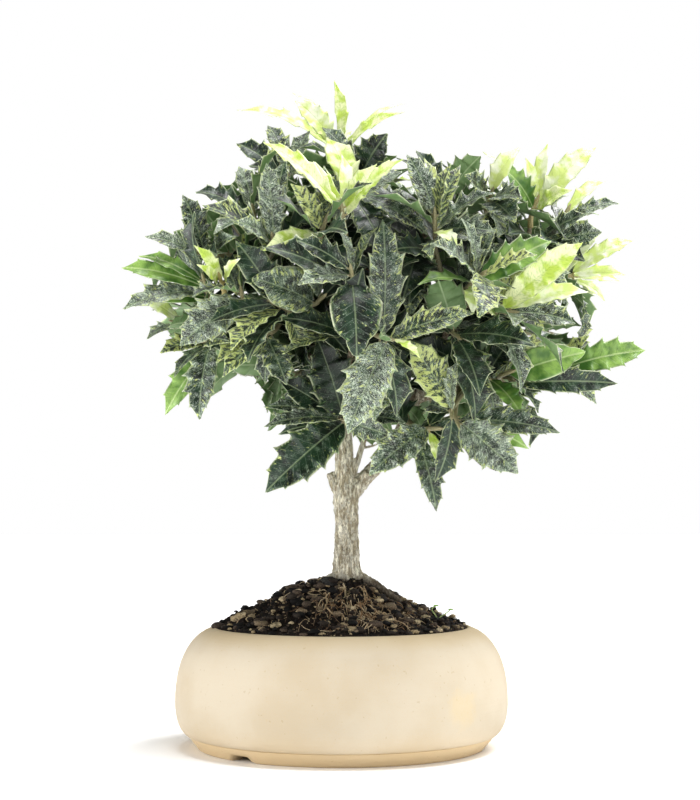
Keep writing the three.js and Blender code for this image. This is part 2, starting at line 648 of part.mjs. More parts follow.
function bentLeaf(leaf, [dip, swing]) {
  const across = leaf.along.clone().cross(leaf.outlook).normalize();
  const turned = (vector) =>
    vector
      .clone()
      .applyAxisAngle(across, THREE.MathUtils.degToRad(dip))
      .applyAxisAngle(leaf.outlook, THREE.MathUtils.degToRad(swing));
  return { ...leaf, along: turned(leaf.along), normal: turned(leaf.normal) };
}

// A point of the blade: `share` along the midrib, `offset` to the side and `lift` off the surface
function bladePoint(leaf, share, offset, lift) {
  const arch = 4 * leaf.arch * leaf.length * share * (1 - share);
  const side = leaf.along.clone().cross(leaf.normal);
  return leaf.base
    .clone()
    .addScaledVector(leaf.along, share * leaf.length)
    .addScaledVector(side, offset)
    .addScaledVector(leaf.normal, arch + bladeFold * Math.abs(offset) + lift);
}

function bladeLines(leaf) {
  const form = leafForms[leaf.form];
  const half = leaf.breadth / 2;
  const margin = form.margin.map(([share, width], k) => ({
    share,
    offset: width * half,
    lift: (k % 2 === 1 ? 1 : -1) * bladeWave * half * (k > 0 ? 1 : 0),
  }));
  margin.unshift({ share: 0, offset: petioleHalfWidth, lift: 0 });
  return { margin, rib: [0, ...form.rib] };
}

// Joins the midrib's points to a margin's points, by triangles that each hold a point of both
function bladeStrip(ribShares, marginShares) {
  const triangles = [];
  let [r, m] = [0, 0];
  while (r < ribShares.length - 1 || m < marginShares.length - 1) {
    const ribNext = r < ribShares.length - 1 ? ribShares[r + 1] : 2;
    const edgeNext = m < marginShares.length - 1 ? marginShares[m + 1] : 2;
    if (edgeNext <= ribNext) {
      triangles.push([`rib${r}`, `edge${m + 1}`, `edge${m}`]);
      m += 1;
    } else {
      triangles.push([`rib${r}`, `rib${r + 1}`, `edge${m}`]);
      r += 1;
    }
  }
  triangles.push([`rib${r}`, "tip", `edge${m}`]);
  return triangles;
}

// The four points of a leaf's root, which stand off the twig and turn from its side to the blade
function rootRing(leaf) {
  const axis = leaf.along.clone().multiplyScalar(0.6).addScaledVector(leaf.place.facing, 0.8).normalize();
  const side = perpendicular(leaf.along.clone().cross(leaf.normal), axis);
  const normal = side.clone().cross(axis);
  const at = (direction, distance) => leaf.base.clone().addScaledVector(direction, distance);
  return {
    "edge0side1": at(side, petioleHalfWidth),
    "edge0side-1": at(side, -petioleHalfWidth),
    rib0upper: at(normal, petioleHalfDepth),
    rib0lower: at(normal, -petioleHalfDepth),
  };
}

// A blade is a closed lens: its two faces share the margin and stand apart along the midrib.
// Its open root is a ring of four points, which its twig's side joins.
function bladeShape(leaf) {
  const { margin, rib } = bladeLines(leaf);
  const strip = bladeStrip(rib, margin.map((place) => place.share));
  const points = { tip: bladePoint(leaf, 1, 0, 0) };
  rib.forEach((share, k) => {
    points[`rib${k}upper`] = bladePoint(leaf, share, 0, bladeRibThickness / 2);
    points[`rib${k}lower`] = bladePoint(leaf, share, 0, -bladeRibThickness / 2);
  });
  for (const side of [-1, 1]) {
    margin.forEach((edge, k) => {
      points[`edge${k}side${side}`] = bladePoint(leaf, edge.share, side * edge.offset, edge.lift);
    });
  }
  const triangles = [];
  for (const side of [-1, 1]) {
    for (const face of ["upper", "lower"]) {
      for (const corners of strip) {
        const names = corners.map((name) => {
          if (name.startsWith("rib")) return name + face;
          return name.startsWith("edge") ? `${name}side${side}` : name;
        });
        triangles.push((side === 1) === (face === "upper") ? names.reverse() : names);
      }
    }
  }
  const root = ["edge0side1", "rib0lower", "edge0side-1", "rib0upper"];
  return { points: { ...points, ...rootRing(leaf) }, triangles, root };
}

// Joins a side of the twig, a loop of four points, to the ring at a leaf's root
function rootTriangles(loop, ring) {
  const spread = (shift) => loop.reduce((sum, corner, k) => sum + corner.distanceTo(ring[(k + shift) % 4]), 0);
  const shift = [0, 1, 2, 3].reduce((best, next) => (spread(next) < spread(best) ? next : best));
  return loop.flatMap((corner, k) => {
    const next = loop[(k + 1) % 4];
    const [near, far] = [ring[(k + shift) % 4], ring[(k + shift + 1) % 4]];
    return [[corner, next, near], [next, far, near]];
  });
}

// The same blade as a thin sheet of triangles, for finding where leaves would cross
function bladeSheet(leaf) {
  const { margin, rib } = bladeLines(leaf);
  const strip = bladeStrip(rib, margin.map((place) => place.share));
  const triangles = [];
  for (const side of [-1, 1]) {
    const points = { tip: bladePoint(leaf, 1, 0, 0) };
    rib.forEach((share, k) => {
      points[`rib${k}`] = bladePoint(leaf, share, 0, 0);
    });
    margin.forEach((edge, k) => {
      points[`edge${k}`] = bladePoint(leaf, edge.share, side * edge.offset, edge.lift);
    });
    for (const names of strip) {
      triangles.push(names.map((name) => points[name]));
    }
  }
  const shape = bladeShape(leaf);
  const skin = shape.triangles.map((names) => names.map((name) => shape.points[name]));
  skin.push(...rootTriangles(leaf.loop, shape.root.map((name) => shape.points[name])));
  const box = new THREE.Box3().setFromPoints(skin.flat());
  return { triangles, skin, box, shoot: leaf.shoot };
}

// Where two sheets cross, or come closer than `room`
const ray = new THREE.Ray();
const hit = new THREE.Vector3();

function edgeCrosses(start, end, triangle) {
  const reach = start.distanceTo(end);
  const shared = 0.001;
  ray.origin.copy(start);
  ray.direction.copy(end).sub(start).divideScalar(reach);
  const found = ray.intersectTriangle(triangle[0], triangle[1], triangle[2], false, hit);
  if (found === null) return false;
  const distance = hit.distanceTo(start);
  return distance > shared && distance < reach - shared;
}

function trianglesCross(one, other) {
  for (let k = 0; k < 3; k += 1) {
    if (edgeCrosses(one[k], one[(k + 1) % 3], other)) return true;
    if (edgeCrosses(other[k], other[(k + 1) % 3], one)) return true;
  }
  return false;
}

const nearest = new THREE.Vector3();
const facet = new THREE.Triangle();
const span = new THREE.Line3();

function pointNear(point, triangle, room) {
  facet.set(triangle[0], triangle[1], triangle[2]);
  facet.closestPointToPoint(point, nearest);
  return nearest.distanceTo(point) < room;
}

function middleOf(one, other) {
  return one.clone().lerp(other, 0.5);
}

function skinCrosses(skin) {
  return skin.some((a, k) => skin.slice(k + 1).some((b) => trianglesCross(a, b)));
}

function sheetsCross(one, other, room) {
  if (!one.box.clone().expandByScalar(room).intersectsBox(other.box)) return false;
  if (one.shoot === other.shoot) {
    return one.skin.some((a) => other.skin.some((b) => trianglesCross(a, b)));
  }
  const near = (a, b) =>
    a.some((point, k) => pointNear(point, b, room) || pointNear(middleOf(point, a[(k + 1) % 3]), b, room));
  return one.triangles.some((a) =>
    other.triangles.some((b) => trianglesCross(a, b) || near(a, b) || near(b, a)),
  );
}

// Where a sheet meets a stem, given as a list of straight pieces with a radius each
function sheetMeetsStem(sheet, stem) {
  if (stem.shoot === sheet.shoot || !sheet.box.intersectsBox(stem.box)) return false;
  return sheet.triangles.some((triangle) =>
    stem.pieces.some(
      (piece) =>
        edgeCrosses(piece.start, piece.end, triangle) ||
        piece.samples.some((point) => pointNear(point, triangle, piece.radius + 1)),
    ),
  );
}

// A stem as straight pieces between its points, each with its radius and points to test along it
function stemPieces(points, radii, shoot) {
  const pieces = points.slice(1).map((end, k) => {
    const start = points[k];
    const count = Math.ceil(start.distanceTo(end) / 2.5);
    const samples = Array.from({ length: count + 1 }, (unused, i) => start.clone().lerp(end, i / count));
    return { start, end, samples, radius: Math.max(radii[k], radii[k + 1]) };
  });
  const widest = Math.max(...radii) + 1;
  return { pieces, box: new THREE.Box3().setFromPoints(points).expandByScalar(widest), shoot };
}

// The shoots of the sides and back, spread over the crown by the golden angle
function hiddenShoots() {
  const draw = seededSeries(7);
  const made = [];
  for (let i = 0; i < hiddenCount; i += 1) {
    const height = THREE.MathUtils.lerp(hiddenLow, hiddenHigh, (i + 0.5) / hiddenCount);
    const turn = (i * goldenTurn) % 1;
    const azimuth = THREE.MathUtils.degToRad(hiddenFrom + hiddenSweep * turn);
    const level = Math.sqrt(1 - height * height);
    const out = new THREE.Vector3(level * Math.cos(azimuth), level * Math.sin(azimuth), height);
    const tip = out.multiply(crownHalfSize).multiplyScalar(0.94 + 0.12 * draw()).add(crownCentre);
    const number = String(i + 1).padStart(2, "0");
    made.push({ name: `back_${number}`, tip, leaves: [], more: 6, turn: 6 * draw() });
  }
  return made;
}

// A shoot's stem grows out of a limb as a side branch, and ends in the leafy twig
function stemOf(shoot, root) {
  const { tip } = shoot;
  const outward = tip.clone().sub(crownCentre).normalize();
  const wanted = Math.ceil((shoot.leaves.length + shoot.more) / leavesPerNode);
  const away = tip.clone().sub(root.point);
  const reach = away.length();
  const along = away
    .normalize()
    .multiplyScalar(awayPull)
    .addScaledVector(outward, outwardPull)
    .addScaledVector(up, upPull)
    .normalize();
  const nodes = Math.max(1, Math.min(wanted, Math.floor((leafyShare * reach) / nodeLength)));
  const foot = tip.clone().addScaledVector(along, -nodes * nodeLength);
  const bow = root.point.clone().lerp(foot, bowPlace).addScaledVector(along, -bowSag * reach);
  const across = perpendicular(Math.abs(along.z) < 0.9 ? up : towardsViewer, along);
  across.applyAxisAngle(along, shoot.turn ?? 0);
  const radii = [branchRadius, branchRadius, twigRadius, twigRadius];
  const room = stemPieces([root.point, bow, foot, tip], radii, shoot.name);
  return { root, bow, foot, tip, along, across, nodes, outward, room };
}

// The limbs' nearest place from which the stem comes clear of every other stem
function clearStem(shoot, places, stems) {
  const drop = (place) => Math.max(0, place.point.z - shoot.tip.z);
  const cost = (place) => place.point.distanceTo(shoot.tip) + 0.5 * drop(place);
  const nearestFirst = [...places].sort((one, other) => cost(one) - cost(other));
  const tried = nearestFirst.slice(0, placesTried).map((place) => stemOf(shoot, place));
  return tried.find((stem) => !stems.some((other) => stemsMeet(stem, other))) ?? tried[0];
}

function stemsMeet(stem, other) {
  if (!stem.room.box.intersectsBox(other.box)) return false;
  const seat = stem.root.radius + seatLength;
  return stem.room.pieces.some((piece) =>
    piece.samples.some((point) => {
      if (other.shoot === "wood" && point.distanceTo(stem.root.point) < seat) return false;
      return other.pieces.some((near) => {
        span.set(near.start, near.end).closestPointToPoint(point, true, nearest);
        return nearest.distanceTo(point) < piece.radius + near.radius + stemRoom;
      });
    }),
  );
}

// How far out along a stem, from its root, its ring first comes clear of the wood's faces
function seatDistance(stem, ring, along, woodFaces) {
  const reach = stem.foot.distanceTo(stem.root.point);
  const middles = ring.map((corner, k) => middleOf(corner, ring[(k + 1) % twigSides]));
  const inner = [...ring, ...middles].map((point) => middleOf(point, stem.root.point));
  const distances = [...ring, ...middles, ...inner, stem.root.point].map((start) => {
    ray.origin.copy(start).addScaledVector(along, reach);
    ray.direction.copy(along).negate();
    const depths = woodFaces
      .filter((face) => ray.intersectTriangle(face[0], face[1], face[2], false, hit) !== null)
      .map((face) => {
        ray.intersectTriangle(face[0], face[1], face[2], false, hit);
        return hit.distanceTo(ray.origin);
      });
    return reach - Math.min(reach, ...depths);
  });
  return Math.max(...distances) + seatMargin;
}

// The four corners of a ring round a stem
function ringOf(stem, { centre, along, radius }) {
  const across = perpendicular(stem.across, along);
  const beside = along.clone().cross(across);
  const corners = [];
  for (let k = 0; k < twigSides; k += 1) {
    const angle = (Math.PI / 2) * k - Math.PI / 4;
    const out = across.clone().multiplyScalar(Math.cos(angle)).addScaledVector(beside, Math.sin(angle));
    corners.push(centre.clone().addScaledVector(out, radius));
  }
  return corners;
}

// The rings of the leafy twig, from its lowest node to the bud
function twigRings(stem) {
  const { nodes } = stem;
  const rings = [];
  for (let k = 0; k <= nodes; k += 1) {
    const centre = stem.tip.clone().addScaledVector(stem.along, nodeLength * (k - nodes));
    const radius = THREE.MathUtils.lerp(twigRadius, twigTipRadius, k / nodes);
    rings.push(ringOf(stem, { centre, along: stem.along, radius }));
  }
  const bud = stem.tip.clone().addScaledVector(stem.along, budLength);
  rings.push(ringOf(stem, { centre: bud, along: stem.along, radius: budRadius }));
  return rings;
}

// The rings below them, from the seat on the limb
function branchRings(stem, woodFaces) {
  const { root, bow, foot } = stem;
  const start = root.point;
  const along = bow.clone().sub(start).normalize();
  const seatRing = ringOf(stem, { centre: start, along, radius: seatRadius });
  const seat = seatDistance(stem, seatRing, along, woodFaces);
  const rings = [seatRing.map((corner) => corner.addScaledVector(along, seat))];
  if (bow.distanceTo(start) > seat + 1.5) {
    rings.push(ringOf(stem, { centre: bow, along: foot.clone().sub(start).normalize(), radius: bowRadius }));
  }
  return rings;
}

// The sides of the twig that leaves grow from: their corners, the way they face and the leaf's base
function leafSides(stem, rings) {
  const beside = stem.along.clone().cross(stem.across);
  const free = sideLoops(rings).filter(({ node }) => node >= 0 && node < stem.nodes);
  return free.map(({ node, side, loop }) => {
    const angle = (Math.PI / 2) * side;
    const facing = stem.across.clone().multiplyScalar(Math.cos(angle)).addScaledVector(beside, Math.sin(angle));
    const base = loop
      .reduce((sum, corner) => sum.addScaledVector(corner, 1 / 4), new THREE.Vector3())
      .addScaledVector(facing, petioleReach);
    return { node, side, loop, facing, base };
  });
}

// A listed leaf takes the free side that faces its way best, the higher the more it points forward
function takeSide(sides, stem, direction) {
  const forward = direction.dot(stem.along);
  const outward = perpendicular(direction, stem.along);
  const wanted = nodesPerTurn * (1 - forward);
  let [best, most] = [0, -Infinity];
  sides.forEach((place, k) => {
    const score = place.facing.dot(outward) - nodeCost * Math.abs(place.node - wanted);
    if (score > most) {
      [best, most] = [k, score];
    }
  });
  return sides.splice(best, 1)[0];
}

// A leaf whose length is mostly hidden from the viewer leans until it has its least length
function listedTip(stem, base, x, z, lean, least) {
  const flat = seenAt(x, z, stem.tip.y);
  const seen = Math.hypot(flat.x - base.x, flat.z - base.z);
  const needed = Math.sqrt(Math.max(0, least * least - seen * seen));
  const depth = (lean < 0 ? -1 : 1) * Math.max(Math.abs(lean), needed);
  return seenAt(x, z, stem.tip.y - depth);
}

function listedLeaf(shoot, values) {
  const { stem } = shoot;
  const [x, z, lean, breadth, face, form, tone] = values;
  const sight = seenAt(x, z, stem.tip.y - lean);
  const place = takeSide(shoot.sides, stem, sight.sub(stem.tip).normalize());
  const least = tone === "young" || tone === "pale" ? leastYoungLength : leastLength;
  const along = listedTip(stem, place.base, x, z, lean, least).sub(place.base);
  const length = along.length();
  along.normalize();
  const normal = faceNormal(along, towardsViewer, face);
  return {
    shoot: shoot.name, place, loop: place.loop, base: place.base, along, normal, length, breadth,
    form, tone, arch: listedArch, outlook: towardsViewer,
  };
}

// The leaves that no list gives grow from the sides left free: opposite pairs first, from the top
function addedLeaves(shoot, draw) {
  const { stem } = shoot;
  const order = ({ node, side }) => node + (side % 2 === node % 2 ? 0 : 2.5);
  const places = [...shoot.sides].sort((one, other) => order(one) - order(other));
  const light = stem.outward.clone().add(up).normalize();
  return places.map((place) => {
    const spread = THREE.MathUtils.degToRad(42 + 11 * place.node + 14 * (draw() - 0.5));
    const length = (42 + 3 * Math.min(place.node, 3)) * (0.86 + 0.28 * draw());
    const breadth = length * (0.44 + 0.12 * draw());
    const facing = place.facing.clone().applyAxisAngle(stem.along, 0.7 * (draw() - 0.5));
    const along = stem.along.clone().multiplyScalar(Math.cos(spread)).addScaledVector(facing, Math.sin(spread));
    const normal = faceNormal(along.normalize(), light, 36 * (draw() - 0.5));
    return {
      shoot: shoot.name, place, loop: place.loop, base: place.base, along, normal, length, breadth,
      form: "slim", tone: "dark", arch: addedArch, outlook: stem.outward, staysInside: true,
    };
  });
}

// An added leaf is left out where it would hide a listed one of its shoot
function isWelcome(leaf, shoot) {
  if (shoot.listed.length === 0) return true;
  if (leaf.along.dot(towardsViewer) > 0.45) return false;
  return shoot.listed.every((other) => other.along.dot(leaf.along) < 0.88);
}

function clearLeaf(leaf, sheets, stems) {
  for (const bend of bends) {
    const tried = bentLeaf(leaf, bend);
    const sheet = bladeSheet(tried);
    if (leaf.staysInside && !insideCrown(bladePoint(tried, 1, 0, 0))) continue;
    const crosses = skinCrosses(sheet.skin) || sheets.some((other) => sheetsCross(sheet, other, leafRoom));
    if (!crosses && !stems.some((stem) => sheetMeetsStem(sheet, stem))) {
      return { leaf: tried, sheet };
    }
  }
  return null;
}

function growCrown(woodFaces) {
  const places = growingPlaces();
  const draw = seededSeries(23);
  const crown = [...shoots.map(listedShoot), ...hiddenShoots()];
  const stems = Object.values({ ...limbs, ...snags }).map((limb) =>
    stemPieces(pathOf(limb), limb.map((place) => place[3]), "wood"),
  );
  for (const shoot of crown) {
    shoot.stem = clearStem(shoot, places, stems);
    stems.push(shoot.stem.room);
    shoot.rings = [...branchRings(shoot.stem, woodFaces), ...twigRings(shoot.stem)];
    shoot.sides = leafSides(shoot.stem, shoot.rings);
    shoot.listed = shoot.leaves.map((values) => listedLeaf(shoot, values));
    shoot.added = addedLeaves(shoot, draw).filter((leaf) => isWelcome(leaf, shoot));
    shoot.grown = [];
  }
  const sheets = crown.map(stemSheet);
  const grow = (shoot, leaves, most) => {
    for (const leaf of leaves) {
      const found = shoot.grown.length < most ? clearLeaf(leaf, sheets, stems) : null;
      if (found) {
        sheets.push(found.sheet);
        shoot.grown.push(found.leaf);
      }
    }
  };
  for (const shoot of crown) {
    grow(shoot, shoot.listed, shoot.listed.length);
  }
  for (const shoot of crown) {
    grow(shoot, shoot.added, shoot.grown.length + shoot.more);
  }
  return crown;
}

// The stem's own faces, which its leaves keep clear of
function stemSheet({ rings, name }) {
  const skin = sideLoops(rings).flatMap(({ loop }) => facesOfLoop(loop));
  return { triangles: [], skin, box: new THREE.Box3().setFromPoints(skin.flat()), shoot: name };
}

// The four-cornered sides between the rings of a stem, each with its node counted from the top
function sideLoops(rings) {
  const sides = [];
  for (let ring = 0; ring < rings.length - 1; ring += 1) {
    for (let side = 0; side < twigSides; side += 1) {
      const next = (side + 1) % twigSides;
      const loop = [rings[ring][side], rings[ring][next], rings[ring + 1][next], rings[ring + 1][side]];
      sides.push({ node: rings.length - 3 - ring, side, loop });
    }
  }
  return sides;
}

function facesOfLoop(loop) {
  return [
    [loop[0], loop[1], loop[2]],
    [loop[0], loop[2], loop[3]],
  ];
}

function listedShoot(shoot) {
  return { more: 3, ...shoot, tip: seenAt(...shoot.tip) };
}

function woodPieces(grown) {
  const thick = ["trunk", "leader", "rightLimb"];
  return Object.entries({ ...limbs, ...snags }).map(([name, limb]) =>
    limbSolid(limb, thick.includes(name) ? trunkSides : limbSides, grown),
  );
}

// A spray is one closed mesh: the stem's rings, with each leaf grown out of a side of the twig
function makeSpray({ rings, grown }) {
  const faces = [];
  for (const { node, side, loop } of sideLoops(rings)) {
    const leaf = grown.find(({ place }) => place.node === node && place.side === side);
    if (leaf) {
      const { points, triangles, root } = bladeShape(leaf);
      faces.push(...triangles.map((names) => names.map((name) => points[name])));
      faces.push(...rootTriangles(loop, root.map((name) => points[name])));
    } else {
      faces.push(...facesOfLoop(loop));
    }
  }
  faces.push(...facesOfLoop([...rings[0]].reverse()));
  faces.push(...facesOfLoop(rings[rings.length - 1]));
  const positions = faces.flat().flatMap((point) => point.toArray());
  const geometry = new THREE.BufferGeometry();
  geometry.setAttribute("position", new THREE.Float32BufferAttribute(positions, 3));
  return solidOf(geometry);
}

function addPiece(group, name, solid, colour, roughness) {
  const material = new THREE.MeshStandardMaterial({ color: colour, roughness, metalness: 0 });
  const mesh = new THREE.Mesh(geometryOf(solid), material);
  mesh.name = name;
  group.add(mesh);
}

const youngShoots = ["crown_back", "crown_front", "right_top", "right_pale", "left_yellow"];

function sprayColour(name) {
  return youngShoots.includes(name) ? colours.young : colours.mottled;
}

function makeBonsai() {
  const bonsai = new THREE.Group();
  const woodRoom = joined(woodPieces(clearance));
  const crown = growCrown(facesOf(woodRoom));
  addPiece(bonsai, "pot", makePot(), colours.pot, 0.85);
  addPiece(bonsai, "drain_mesh_left", makeDrainMesh(-1), colours.drain, 0.6);
  addPiece(bonsai, "drain_mesh_right", makeDrainMesh(1), colours.drain, 0.6);
  addPiece(bonsai, "soil", largestBody(makeSoil().subtract(woodRoom)), colours.soil, 0.95);
  addPiece(bonsai, "wood", joined(woodPieces(0)), colours.bark, 0.9);
  for (const shoot of crown) {
    addPiece(bonsai, `spray_${shoot.name}`, makeSpray(shoot), sprayColour(shoot.name), 0.5);
  }
  return bonsai;
}

export default makeBonsai();
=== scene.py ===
# Looks for the osmanthus bonsai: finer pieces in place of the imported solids, their materials,
# the floor, the light and the camera. Places are worked out in millimetres, and the meshes are
# in metres.

import math
import random
from itertools import product

import bmesh
import bpy
import numpy as np
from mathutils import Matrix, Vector, noise
from mathutils.bvhtree import BVHTree


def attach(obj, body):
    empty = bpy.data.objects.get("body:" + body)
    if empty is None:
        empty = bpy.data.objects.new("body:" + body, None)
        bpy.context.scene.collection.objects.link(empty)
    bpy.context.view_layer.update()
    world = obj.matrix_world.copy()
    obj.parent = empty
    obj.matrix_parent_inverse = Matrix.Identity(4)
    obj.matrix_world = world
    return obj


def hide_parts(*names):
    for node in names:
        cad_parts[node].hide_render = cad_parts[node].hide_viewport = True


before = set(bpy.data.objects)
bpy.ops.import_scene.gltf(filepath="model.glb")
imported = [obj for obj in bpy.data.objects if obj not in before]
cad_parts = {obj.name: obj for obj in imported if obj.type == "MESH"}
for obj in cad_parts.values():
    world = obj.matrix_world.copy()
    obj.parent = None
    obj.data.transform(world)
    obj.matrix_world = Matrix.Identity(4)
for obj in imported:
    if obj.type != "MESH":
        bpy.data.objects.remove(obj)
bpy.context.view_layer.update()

MM = 0.001

# The photograph's viewing point
VIEW_DISTANCE = 1130
VIEW_HEIGHT = 162
VIEW_PITCH = 0.041
VIEW_ASIDE = 5.1
FOCAL_LENGTH = 83.9
SENSOR_WIDTH = 36

# The pot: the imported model's sizes, but for its mouth, its foot's flare and its notches
POT_RADIUS = 100
POT_HEIGHT = 71.9
BELLY_HEIGHT = 28
FOOT_RADIUS = 86.8
FOOT_INNER_RADIUS = 76
FOOT_HEIGHT = 7
FOOT_STEP = 1.5
FOOT_FLARE = 4.9
UNDERSIDE_RECESS = 2.5
RIM_RADIUS = 72
MOUTH_RADIUS = 76.6
RIM_ROUND = 1.4
RIM_STEPS = 5
LIP_HEIGHT = POT_HEIGHT - 5
WALL_THICKNESS = 8
WALL_POWER = 2.2
FLOOR_TOP = 10
FLOOR_RADIUS = 78
DRAIN_SPACING = 76
DRAIN_RADIUS = 9
NOTCH_HEIGHT = 3.5
NOTCH_WIDTH = 15
NOTCH_END = 1.12
NOTCH_SLOPE = 0.2
NOTCH_ANGLES = [-131, -11, 109]
POT_SIDES = 192

# The soil's heap and what lies on it
SOIL_TOP = 100
SOIL_RIM = 72
SOIL_PEAK_RADIUS = 14
SOIL_SHOULDER = 2.6
SOIL_SIDES = 240
SOIL_RING_STEP = 0.9
SOIL_RINGS = 83
NET_TOP = 11.6
CRUMB_COUNT = 3000
LUMP_EVERY = 8
LUMP_SIZE = 1.3
ROOT_COUNT = 170
ROOT_SIDES = 5
WHITE_GRIT = 0xF2F0E8
PALE_GRIT = 0xD3C09A
STALK_GREEN = 0xB9D188
SEEDLING_GREEN = 0x8FBF45

# The wood
WOOD_VOXEL = 0.6
BARK_DEPTH = 0.75
TWIG_BARK_DEPTH = 0.16
TRUNK_MIDDLE = 3

# The blades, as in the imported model, and what is finer here
BLADE_FOLD = 0.22
FINE_FOLD = 0.3
BLADE_WAVE = 0.05
BLADE_ARCH = 0.075
FINE_WAVE = 0.15
BLADE_HALF_THICKNESS = 0.24
GROOVE_DEPTH = 0.18
ROWS = [0, 0.45, 0.82, 1]
EDGE_ROW = len(ROWS) - 1
ROOT_WIDTH = 0.09
SPINE_REACH = 0.1
SPINE_SLANT = 0.028
BAY_BODY = 0.45
BAY_FILL = 0.42
YOUNG = 0.5
YOUNG_BAY_FILL = 0.78
YOUNG_SPINE_REACH = 0.03
YOUNG_WIDTH = 0.88
SHARP_EDGE = math.radians(140)
SEAM = 0.02
BASE_REACH = 0.95
BUD_EDGE = 0.5
PETIOLE_RADIUS = 0.6
PETIOLE_SIDES = 6
STEM_SIDES = 8
STEM_INSET = 2.5
LISTED_REACH = 13
HIGH_TIP = 352
HIGH_YOUNG_SHARE = 0.45
CURL_LEAST = 0.02
CURL_SPAN = 0.05
YOUNG_CURL_SPAN = 0.14
TWIST_SPAN = 0.3

# The leaves that fill the crown
FILL_PER_SPRAY = 7
FILL_STEP = 6
FILL_SPREAD = 58
FILL_LENGTHS = (32, 47)
FILL_BREADTHS = (0.4, 0.54)
FILL_HIGH_TIP = 345
FILL_YOUNG_SHARE = 0.25
BASE_OUT = 1.1
BASE_UP = 0.8
SPREAD_SPAN = 16
ROLL_SPAN = 0.7
# Fill leaves whose tips lie this near the crown's centre take the deep tone, a painted shade
DEEP_WITHIN = 0.8
# The painted shade inside the crown: how far out from its centre it starts, and the span over which
# it deepens
SHADE_FROM = 0.85
SHADE_RANGE = 0.45
SPUR_COUNT = 90
SPUR_LEAVES = 5
SPUR_LOWEST = 190
SPUR_REACHES = (7, 19)
WHORLS = 3
WHORL_GAP = 3.6
TOP_SPREAD = 42
SPREAD_STEP = 13
LEAF_REACH = 0.62
ROOM = 0.45
SHEET_SAMPLES = (1, 2, 3, 5, 8)
SIGHT_REACH = 300

# The brightness of the studio round the object, at the horizon and overhead
LIGHT_LOW = 0.06
LIGHT_HIGH = 0.3
SUN_POWER = 3.3
SUN_SPREAD = 0.5
SUN_HEADING = (-0.12, 0.06, -1)
FLOOR_REACH = 4000


# Small sums
def rgb(code):
    """The linear colour of a six-figure hexadecimal sRGB code."""
    parts = [(code >> shift & 255) / 255 for shift in (16, 8, 0)]
    linear = [p / 12.92 if p <= 0.04045 else ((p + 0.055) / 1.055) ** 2.4 for p in parts]
    return (*linear, 1)


def unit(vector):
    return vector / np.linalg.norm(vector)


def clamp(value):
    """The value, held between 0 and 1."""
    return min(1, max(0, value))


def wander(draw, span):
    """A drawn amount to either side of 0, within a span."""
    return span * (draw.random() - 0.5)


def around(radius, angle):
    """The x and y of a place at an angle about the axis."""
    return radius * math.cos(angle), radius * math.sin(angle)


def crosswise(axis):
    """A vector at right angles to an axis."""
    helper = np.array([0.0, 0, 1]) if abs(axis[2]) < 0.9 else np.array([0.0, -1, 0])
    return np.cross(axis, helper)


def linked(name, data):
    """A new object in the scene."""
    thing = bpy.data.objects.new(name, data)
    bpy.context.scene.collection.objects.link(thing)
    return thing


# Camera
def make_camera():
    data = bpy.data.cameras.new("camera")
    data.lens = FOCAL_LENGTH
    data.sensor_width = SENSOR_WIDTH
    data.clip_end = 100
    camera = linked("camera", data)
    camera.location = (VIEW_ASIDE * MM, -VIEW_DISTANCE * MM, VIEW_HEIGHT * MM)
    camera.rotation_euler = (math.pi / 2 + VIEW_PITCH, 0, 0)
    bpy.context.scene.camera = camera


make_camera()

# Meshes
ATTRIBUTE_KINDS = {3: ("FLOAT_VECTOR", "vector"), 4: ("FLOAT_COLOR", "color")}


def mesh_piece(name, points, faces, material, layers=None):
    """A piece from points in millimetres. Each layer has a vector or a colour for every point."""
    mesh = bpy.data.meshes.new(name)
    corners = (np.asarray(points, float) * MM).tolist()
    mesh.from_pydata(corners, [], [list(map(int, face)) for face in faces])
    for title, values in (layers or {}).items():
        values = np.asarray(values, np.float32)
        kind, field = ATTRIBUTE_KINDS[values.shape[1]]
        mesh.attributes.new(title, kind, "POINT").data.foreach_set(field, values.ravel())
    mesh.materials.append(material)
    mesh.shade_smooth()
    return linked(name, mesh)


def ring_faces(first, second, sides):
    """Quads between two rings of points that start at the given numbers."""
    return [
        (first + k, first + (k + 1) % sides, second + (k + 1) % sides, second + k)
        for k in range(sides)
    ]


def tube(points, radii, sides):
    """Points and faces of a closed tube along a path."""
    points = np.asarray(points, float)
    steps = np.gradient(points, axis=0)
    steps /= np.linalg.norm(steps, axis=1)[:, None] + 1e-12
    across = crosswise(steps[0])
    corners, faces = [], []
    for at, along, radius in zip(points, steps, radii):
        across = unit(across - along * across.dot(along))
        beside = np.cross(along, across)
        for k in range(sides):
            x, y = around(radius, math.tau * k / sides)
            corners.append(at + x * across + y * beside)
    for k in range(len(points) - 1):
        faces += ring_faces(k * sides, (k + 1) * sides, sides)
    faces.append(tuple(range(sides))[::-1])
    last = (len(points) - 1) * sides
    faces.append(tuple(range(last, last + sides)))
    return corners, faces


def smooth_path(points, radii, spacing):
    """A curve through the points with a step of about the spacing, with its radii."""
    points = np.asarray(points, float)
    ends = np.vstack([2 * points[0] - points[1], points, 2 * points[-1] - points[-2]])
    found, widths = [], []
    for k in range(len(points) - 1):
        a, b, c, d = ends[k : k + 4]
        count = max(1, round(np.linalg.norm(c - b) / spacing))
        for t in np.arange(count) / count:
            bend = (2 * a - 5 * b + 4 * c - d) * t**2 + (3 * b - a - 3 * c + d) * t**3
            found.append(b + 0.5 * ((c - a) * t + bend))
            widths.append(radii[k] + (radii[k + 1] - radii[k]) * t)
    return [*found, points[-1]], [*widths, radii[-1]]


